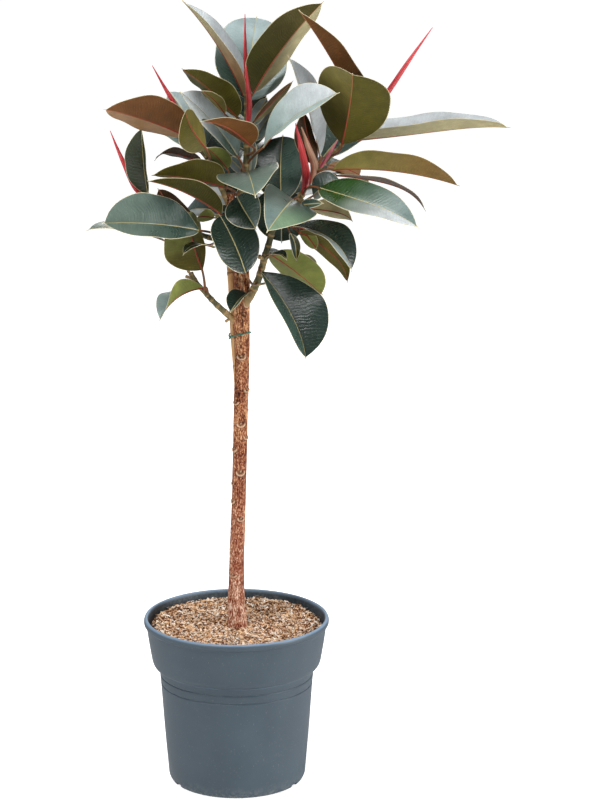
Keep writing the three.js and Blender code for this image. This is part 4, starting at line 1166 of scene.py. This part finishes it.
barkValues = {
    "around": 108, "step": 1.1, "ridges": 0.32, "flutes": 0.09,
    "tones": [(0.08, "2e150d"), (0.3, "6b3a25"), (0.5, "965639"), (0.72, "bb8058"), (0.93, "e6b686")],
    "lowTones": [(0.08, "5c2418"), (0.3, "8f4c36"), (0.5, "a66449"), (0.72, "be8667"), (0.93, "f2d6be")],
    "lowFrom": 0.6, "lowTo": 0.33,   # metres above the ground
    # the scars' pit colour is painted shade, their rim colour a painted highlight on the rims and dots
    "blotch": "2a1b14", "scarPitShade": "26140d", "scarRimHighlight": "e2c09c",
    "line": [(1, 0, 200, 17), (1, 0, 236, 17), (1, 0, 259, 15.5), (0, 0, 285, 13.5), (1, 0, 357, 12),
             (5, 0, 463, 11.3), (8, 0, 582, 11.3), (11, 0, 688, 11.5), (10, 0, 743, 13.2), (11, 0, 808, 12.5),
             (7, 0, 851, 12), (1, 0, 890, 11), (-5, -2, 921, 9), (-7, -4, 940, 8)],
    # leaf scars: height, direction in degrees, half width, half height
    "scars": [(687, -95, 6.5, 4.6), (634, -35, 5.5, 4), (614, -140, 5.5, 4), (580, -85, 6, 4.6),
              (558, -30, 5, 3.8), (539, -145, 5.5, 4.6), (503, -80, 6.5, 5.5), (484, -160, 4, 3.5),
              (456, -150, 5, 5), (428, -65, 5.5, 4.2), (336, -120, 6.5, 3.4), (770, -48, 5.5, 5.5),
              (655, 60, 5.5, 4), (405, 40, 5.5, 4), (375, 130, 5.5, 4), (740, 120, 6, 4),
              (520, 110, 5, 4), (600, 40, 5, 4), (300, 70, 6, 3.5)],
}


def barkMaterial(values):
    material, tree, shader = newMaterial("trunkBark", Roughness=0.8, Specular_IOR_Level=0.2)
    patches = noiseAt(tree, objectPoint(tree, (1, 1, 0.35)), 60.0, 4.0, 0.6)
    flecks = noiseAt(tree, objectPoint(tree, (1, 1, 0.45)), 560.0, 3.0, 0.7)
    grooves = readAttribute(tree, "barkDepth").outputs["Fac"]
    tone = plus(tree, times(tree, flecks, 0.68), times(tree, patches, 0.32))
    tone = plus(tree, remap(tree, tone, 0.38, 0.62), times(tree, grooves, 0.35))
    low = remap(tree, splitXyz(tree, objectPoint(tree))[2], values["lowFrom"], values["lowTo"])
    tint = blendColours(tree, low, ramp(tree, tone, values["tones"]), ramp(tree, tone, values["lowTones"]))
    scar = readAttribute(tree, "scarShadeHighlightBlotch").outputs["Color"]
    marks = addNode(tree, "ShaderNodeSeparateColor")
    tree.links.new(scar, marks.inputs[0])
    blotch = times(tree, marks.outputs[2], remap(tree, flecks, 0.4, 0.6, 1.0, 0.5))
    tint = blendColours(tree, blotch, tint, values["blotch"])
    # painted shade in the scar pits and along the line outside their rims, then a painted highlight on the
    # rims and dots
    tint = blendColours(tree, marks.outputs[0], tint, values["scarPitShade"])
    tint = blendColours(tree, marks.outputs[1], tint, values["scarRimHighlight"])
    tree.links.new(tint, shader.inputs["Base Color"])
    addBump(tree, shader, tone, 0.6, 0.0007)
    return material


def makeTrunk(values):
    line = splineThrough(values["line"], 40)
    length = travelledAlong(line[:, :3])
    at = np.arange(0, length[-1], values["step"])
    line = np.stack([np.interp(at, length, line[:, k]) for k in range(4)], axis=1)
    around = values["around"]
    turn = fullTurn(around)
    points, depths, marks = [], [], []
    for x, y, z, radius in line:
        lowFlutes = values["flutes"] * max(0, 1 - (z - 200) / 90)
        fissures = np.clip((345 - z) / 60, 0, 1)
        nearTop = np.clip((z - 640) / 120, 0, 1)
        for w in turn:
            cx, cy = math.cos(w), math.sin(w)
            grain = noise.noise(Vector((cx * 5.2, cy * 5.2, z * 0.028)))
            fine = noise.noise(Vector((cx * 13, cy * 13, z * 0.07 + 40)))
            drift = 2 * noise.noise(Vector((cx * 2, cy * 2, z * 0.06)))
            wavy = noise.noise(Vector((cx * 8 + drift, cy * 8, z * 0.06 + 11)))
            lump = noise.noise(Vector((cx * 1.4, cy * 1.4, z * 0.02 + 80)))
            offset = values["ridges"] * (1.3 * grain + 0.8 * fine) + 0.35 * lump
            offset += fissures * 0.9 * (abs(wavy) * 2 - 0.35)
            depth = 0.5 * grain + 0.5 * fine + fissures * (0.9 - abs(wavy) * 4)
            depth -= nearTop * 0.35 * max(0, lump)
            dark = pale = 0.0
            for height, degrees, wide, high in values["scars"]:
                if abs(z - height) > 14:
                    continue
                around180 = (math.degrees(w) - degrees + 180) % 360 - 180
                dx, dz = math.radians(around180) * radius / wide, (z - height) / high
                spread = math.hypot(dx, dz)
                if spread > 2.4:
                    continue
                # a raised rim, open at the top like a smile, round a sunken pit with a raised dot; painted
                # shade darkens the pit and a line outside the rim, and a painted highlight lightens the rim
                # and the dot
                smile = 1 if dz < -0.1 else max(0, 1 - (dz + 0.1) * 2.0)
                rim = math.exp(-((spread - 1) / 0.2) ** 2) * smile
                pit = math.exp(-(math.hypot(dx * 0.8, dz - 0.1) / 0.55) ** 2)
                dot = math.exp(-(math.hypot(dx, dz - 0.15) / 0.2) ** 2)
                offset += 1.5 * rim - 0.7 * pit + 0.7 * math.exp(-(spread / 1.3) ** 2) + 0.7 * dot
                rimShadow = 0.75 * math.exp(-((spread - 1.32) / 0.16) ** 2) * (dz < 0.1)
                dark = max(dark, 0.9 * pit, rimShadow)
                pale = max(pale, 0.85 * rim, 0.9 * dot)
            blotch = min(1, max(0, 5 * (0.5 * wavy + 0.6 * grain + 0.3 * lump - 0.02)))
            blotch *= 0.15 + 0.75 * nearTop
            reach = radius * (1 + lowFlutes * math.cos(5 * w)) + offset - 0.4
            points.append((x + cx * reach, y + cy * reach, z))
            depths.append(depth)
            marks.append((dark, pale, min(1, blotch), 1))
    makePiece("trunkStem", points, ringFaces(len(line), around), [barkMaterial(values)], "trunk",
              {"barkDepth": ("FLOAT", depths), "scarShadeHighlightBlotch": ("FLOAT_COLOR", marks)})


makeTrunk(barkValues)
print("trunk made")


# bamboo cane and the wire that ties the trunk to it

caneValues = {
    "radius": 5.3, "around": 40, "joints": [312, 497, 664, 812],
    "colours": [(0.25, "a47446"), (0.5, "cf9f69"), (0.75, "e4c092")], "jointColour": "5e3f22",
    "line": [(1, 29, 122), (2, 20, 357), (3, 19, 480), (4, 18.5, 620), (-2, 17, 715), (-6, 14, 808),
             (-11, 15.5, 863)],
}


def caneMaterial(values):
    material, tree, shader = newMaterial("bambooCane", Roughness=0.5, Specular_IOR_Level=0.4)
    streaks = noiseAt(tree, objectPoint(tree, (1, 1, 0.06)), 420.0, 4.0, 0.65)
    tint = ramp(tree, streaks, values["colours"])
    joint = readAttribute(tree, "jointMark").outputs["Fac"]
    tint = blendColours(tree, joint, tint, values["jointColour"])
    tree.links.new(tint, shader.inputs["Base Color"])
    addBump(tree, shader, streaks, 0.3, 0.0004)
    return material


def makeCane(values):
    line = splineThrough([(*p, values["radius"]) for p in values["line"]], 60)
    radii, joint = line[:, 3].copy(), np.zeros(len(line))
    for height in values["joints"]:
        gap = line[:, 2] - height
        radii += 0.75 * np.exp(-(gap / 2.2) ** 2) - 0.35 * np.exp(-((gap - 4) / 1.8) ** 2)
        joint = np.maximum(joint, 0.8 * np.exp(-((gap - 2.6) / 1.0) ** 2))
    around = values["around"]
    turn = fullTurn(around)
    fluted = np.array([[1 + 0.012 * noise.noise(Vector((math.cos(w) * 4, math.sin(w) * 4, z * 0.01)))
                        for w in turn] for z in line[:, 2]])
    points, faces = tube(line[:, :3], radii[:, None] * fluted, around)
    makePiece("supportCane", points, faces, [caneMaterial(values)], "support_cane",
              {"jointMark": ("FLOAT", np.repeat(joint, around))})


makeCane(caneValues)

wireValues = {
    "level": 720, "tilt": (3, 2.7), "radius": 0.66, "strandGap": 0.6, "turnsPerMm": 0.16,
    "trunk": (10.5, 0), "cane": (-2, 16.5), "aroundTrunk": 13.9, "aroundCane": 7.3,
    "tones": [(0.3, "125648"), (0.7, "23907c")],
}


def makeWire(values):
    # the loop tilts round the trunk and steps down behind the cane
    def spot(middle, reach, degrees, rise=0):
        angle = math.radians(degrees)
        lift = 0
        if middle == values["trunk"]:
            lift = values["tilt"][0] * math.cos(angle) - values["tilt"][1] * math.sin(angle)
        return (middle[0] + reach * math.cos(angle), middle[1] + reach * math.sin(angle),
                values["level"] + lift + rise)

    trunkReach, caneReach = values["aroundTrunk"], values["aroundCane"]
    loop = [spot(values["trunk"], trunkReach + 5, 196), spot(values["trunk"], trunkReach + 1, 210)]
    loop += [spot(values["trunk"], trunkReach, a) for a in (240, 270, 300, 330, 0, 25, 50)]
    loop += [spot(values["cane"], caneReach, a, -1 - 1.6 * i) for i, a in enumerate((70, 110, 150, 190))]
    loop += [spot(values["trunk"], trunkReach + 4, 180, -2.5), spot(values["trunk"], trunkReach + 7, 205, -4)]
    line = splineThrough(loop, 40)
    length = travelledAlong(line)
    sides, ups = carriedFrames(line)
    material, tree, shader = newMaterial("gardenWire", Roughness=0.35)
    tint = ramp(tree, noiseAt(tree, objectPoint(tree), 500.0), values["tones"])
    tree.links.new(tint, shader.inputs["Base Color"])
    points, faces = [], []
    for phase in (0, math.pi):
        angle = phase + 2 * np.pi * values["turnsPerMm"] * length
        strand = line + values["strandGap"] * (np.cos(angle)[:, None] * sides + np.sin(angle)[:, None] * ups)
        made, strandFaces = tube(strand, np.full(len(strand), values["radius"]), 10)
        first = sum(map(len, points))
        faces += [tuple(i + first for i in f) for f in strandFaces]
        points.append(made)
    makePiece("tieWire", np.vstack(points), faces, [material], "tie_wire")


makeWire(wireValues)
print("cane and wire made")


# red sheaths round the growing buds, and the leaf that is still rolled up

sheathValues = {
    "around": 36, "stepsPerSpan": 26,
    # base, tip, pale streaks that are partly painted highlight, dark streaks
    "red": ("b4202a", "c8323a", "ee8f86", "8a1518"),
    "pink": ("c8445a", "e78a96", "f4bcc0", "b0304a"),
    "salmon": ("b8866a", "c99a7c", "e6c8a8", "8a4a34"),
    "lines": {
        "sheath_top": [(20, -9, 1095, 3.2), (18, -12, 1151, 2.8), (18, -16, 1213, 0.5)],
        "sheath_centre": [(21, -15, 1041, 3.6), (24, -29, 1078, 4.2), (22, -38, 1109, 3),
                          (20, -48, 1141, 0.5)],
        "sheath_left": [(-46, -26, 1009, 3.6), (-68, -34, 1047, 4), (-94, -40, 1092, 3.2),
                        (-120, -45, 1140, 0.5)],
        "sheath_far_left": [(-125, 0, 930, 3.4), (-147, -2, 944, 4), (-169, 0, 990, 3.2),
                            (-187, 2, 1035, 0.5)],
        "sheath_far_right": [(193, -20, 1049, 3.4), (226, -22, 1089, 4.4),
                             (261, -20, 1141, 3), (298, -16, 1193, 0.5)],
        "sheath_right": [(105, -31, 944, 3.6), (109, -42, 972, 6.4), (101, -76, 1024, 4.2),
                         (93, -98, 1062, 0.5)],
        "sheath_small": [(130, -18, 981, 2.6), (144, -27, 1004, 2.8), (157, -28, 1026, 0.5)],
    },
    "rolledLeaf": [(117, -32, 962, 3.2), (121, -38, 988, 6), (110, -52, 1025, 3.6), (102, -60, 1050, 0.6)],
}
pieceNames = {
    "sheath_top": "topSheath", "sheath_centre": "centreSheath", "sheath_left": "leftSheath",
    "sheath_far_left": "farLeftSheath", "sheath_far_right": "farRightSheath", "sheath_right": "rightSheath",
    "sheath_small": "smallSheath",
}


def waxyMaterial(name, base, tip, pale, dark):
    material, tree, shader = newMaterial(name, Roughness=0.38, Specular_IOR_Level=0.5, Subsurface_Weight=0.08)
    shader.inputs["Subsurface Radius"].default_value = (0.004, 0.0012, 0.001)
    share, around, seam = splitXyz(tree, readAttribute(tree, "sheathPlace").outputs["Vector"])
    combine = addNode(tree, "ShaderNodeCombineXYZ")
    tree.links.new(times(tree, share, 1.5), combine.inputs[0])
    tree.links.new(times(tree, around, 9.0), combine.inputs[1])
    streaks = noiseAt(tree, combine.outputs[0], 2.2, 3.0, 0.6)
    tint = blendColours(tree, share, base, tip)
    # pale streaks, partly a painted highlight on the waxy skin
    tint = blendColours(tree, remap(tree, streaks, 0.5, 0.72, 0, 0.7), tint, pale)
    tint = blendColours(tree, remap(tree, streaks, 0.48, 0.3, 0, 0.6), tint, dark)
    tint = blendColours(tree, times(tree, seam, 0.7), tint, dark)
    tree.links.new(tint, shader.inputs["Base Color"])
    addBump(tree, shader, streaks, 0.35, 0.0005)
    return material


sheathSkin = waxyMaterial("sheathSkin", *sheathValues["red"])
smallSkin = waxyMaterial("smallSheathSkin", *sheathValues["pink"])
rolledSkin = waxyMaterial("rolledLeafSkin", *sheathValues["salmon"])


def makeSpike(name, cadName, points, skin, turns):
    line = splineThrough(points, sheathValues["stepsPerSpan"])
    path, radii = line[:, :3], line[:, 3]
    around = sheathValues["around"]
    share = travelledAlong(path)
    share = share / share[-1]
    turn = fullTurn(around)
    reach, place = [], []
    for r, s in zip(radii, share):
        # the overlap: a low step that winds round the spike
        offset = (turn - 2 * np.pi * turns * s) % (2 * np.pi)
        step = np.exp(-(offset / 0.35) ** 2) + 0.5 * np.exp(-((2 * np.pi - offset) / 0.12) ** 2)
        facets = 0.03 * np.cos(3 * turn + 4 * s) + 0.02 * np.cos(7 * turn)
        swell = 1 - 0.12 * math.exp(-(s / 0.05) ** 2)
        reach.append(r * swell * (1 + 0.09 * step + facets) + 0.12 * step)
        seam = np.exp(-((2 * np.pi - offset) / 0.14) ** 2)
        place += [(s, w, g) for w, g in zip(turn / (2 * np.pi), seam)]
    made, faces = tube(path, np.array(reach), around)
    makePiece(name, made, faces, [skin], cadName, {"sheathPlace": ("FLOAT_VECTOR", place)})


for cadName, points in sheathValues["lines"].items():
    skin = smallSkin if cadName == "sheath_small" else sheathSkin
    makeSpike(pieceNames[cadName], cadName, points, skin, 0.4)
makeSpike("rolledLeaf", "new_leaf", sheathValues["rolledLeaf"], rolledSkin, 0.8)
print("sheaths made")


# stage

floorMaterial, floorTree, floorShader = newMaterial("paleFloor", Roughness=0.9, Specular_IOR_Level=0.1)
floorShader.inputs["Base Color"].default_value = colour(studio["floorColour"])
floorShader.inputs["Emission Color"].default_value = (1, 1, 1, 1)
lightPath = addNode(floorTree, "ShaderNodeLightPath")
floorTree.links.new(times(floorTree, lightPath.outputs["Is Camera Ray"], studio["floorGlow"]),
                    floorShader.inputs["Emission Strength"])
half = studio["floorHalf"]
floorMesh = bpy.data.meshes.new("studioFloor")
corners = [(-half, -half, 0), (half, -half, 0), (half, half, 0), (-half, half, 0)]
floorMesh.from_pydata(corners, [], [(0, 1, 2, 3)])
floorMesh.materials.append(floorMaterial)
floor = bpy.data.objects.new("studioFloor", floorMesh)
floor.location = (0, 0, -studio["floorGap"])
bpy.context.scene.collection.objects.link(floor)
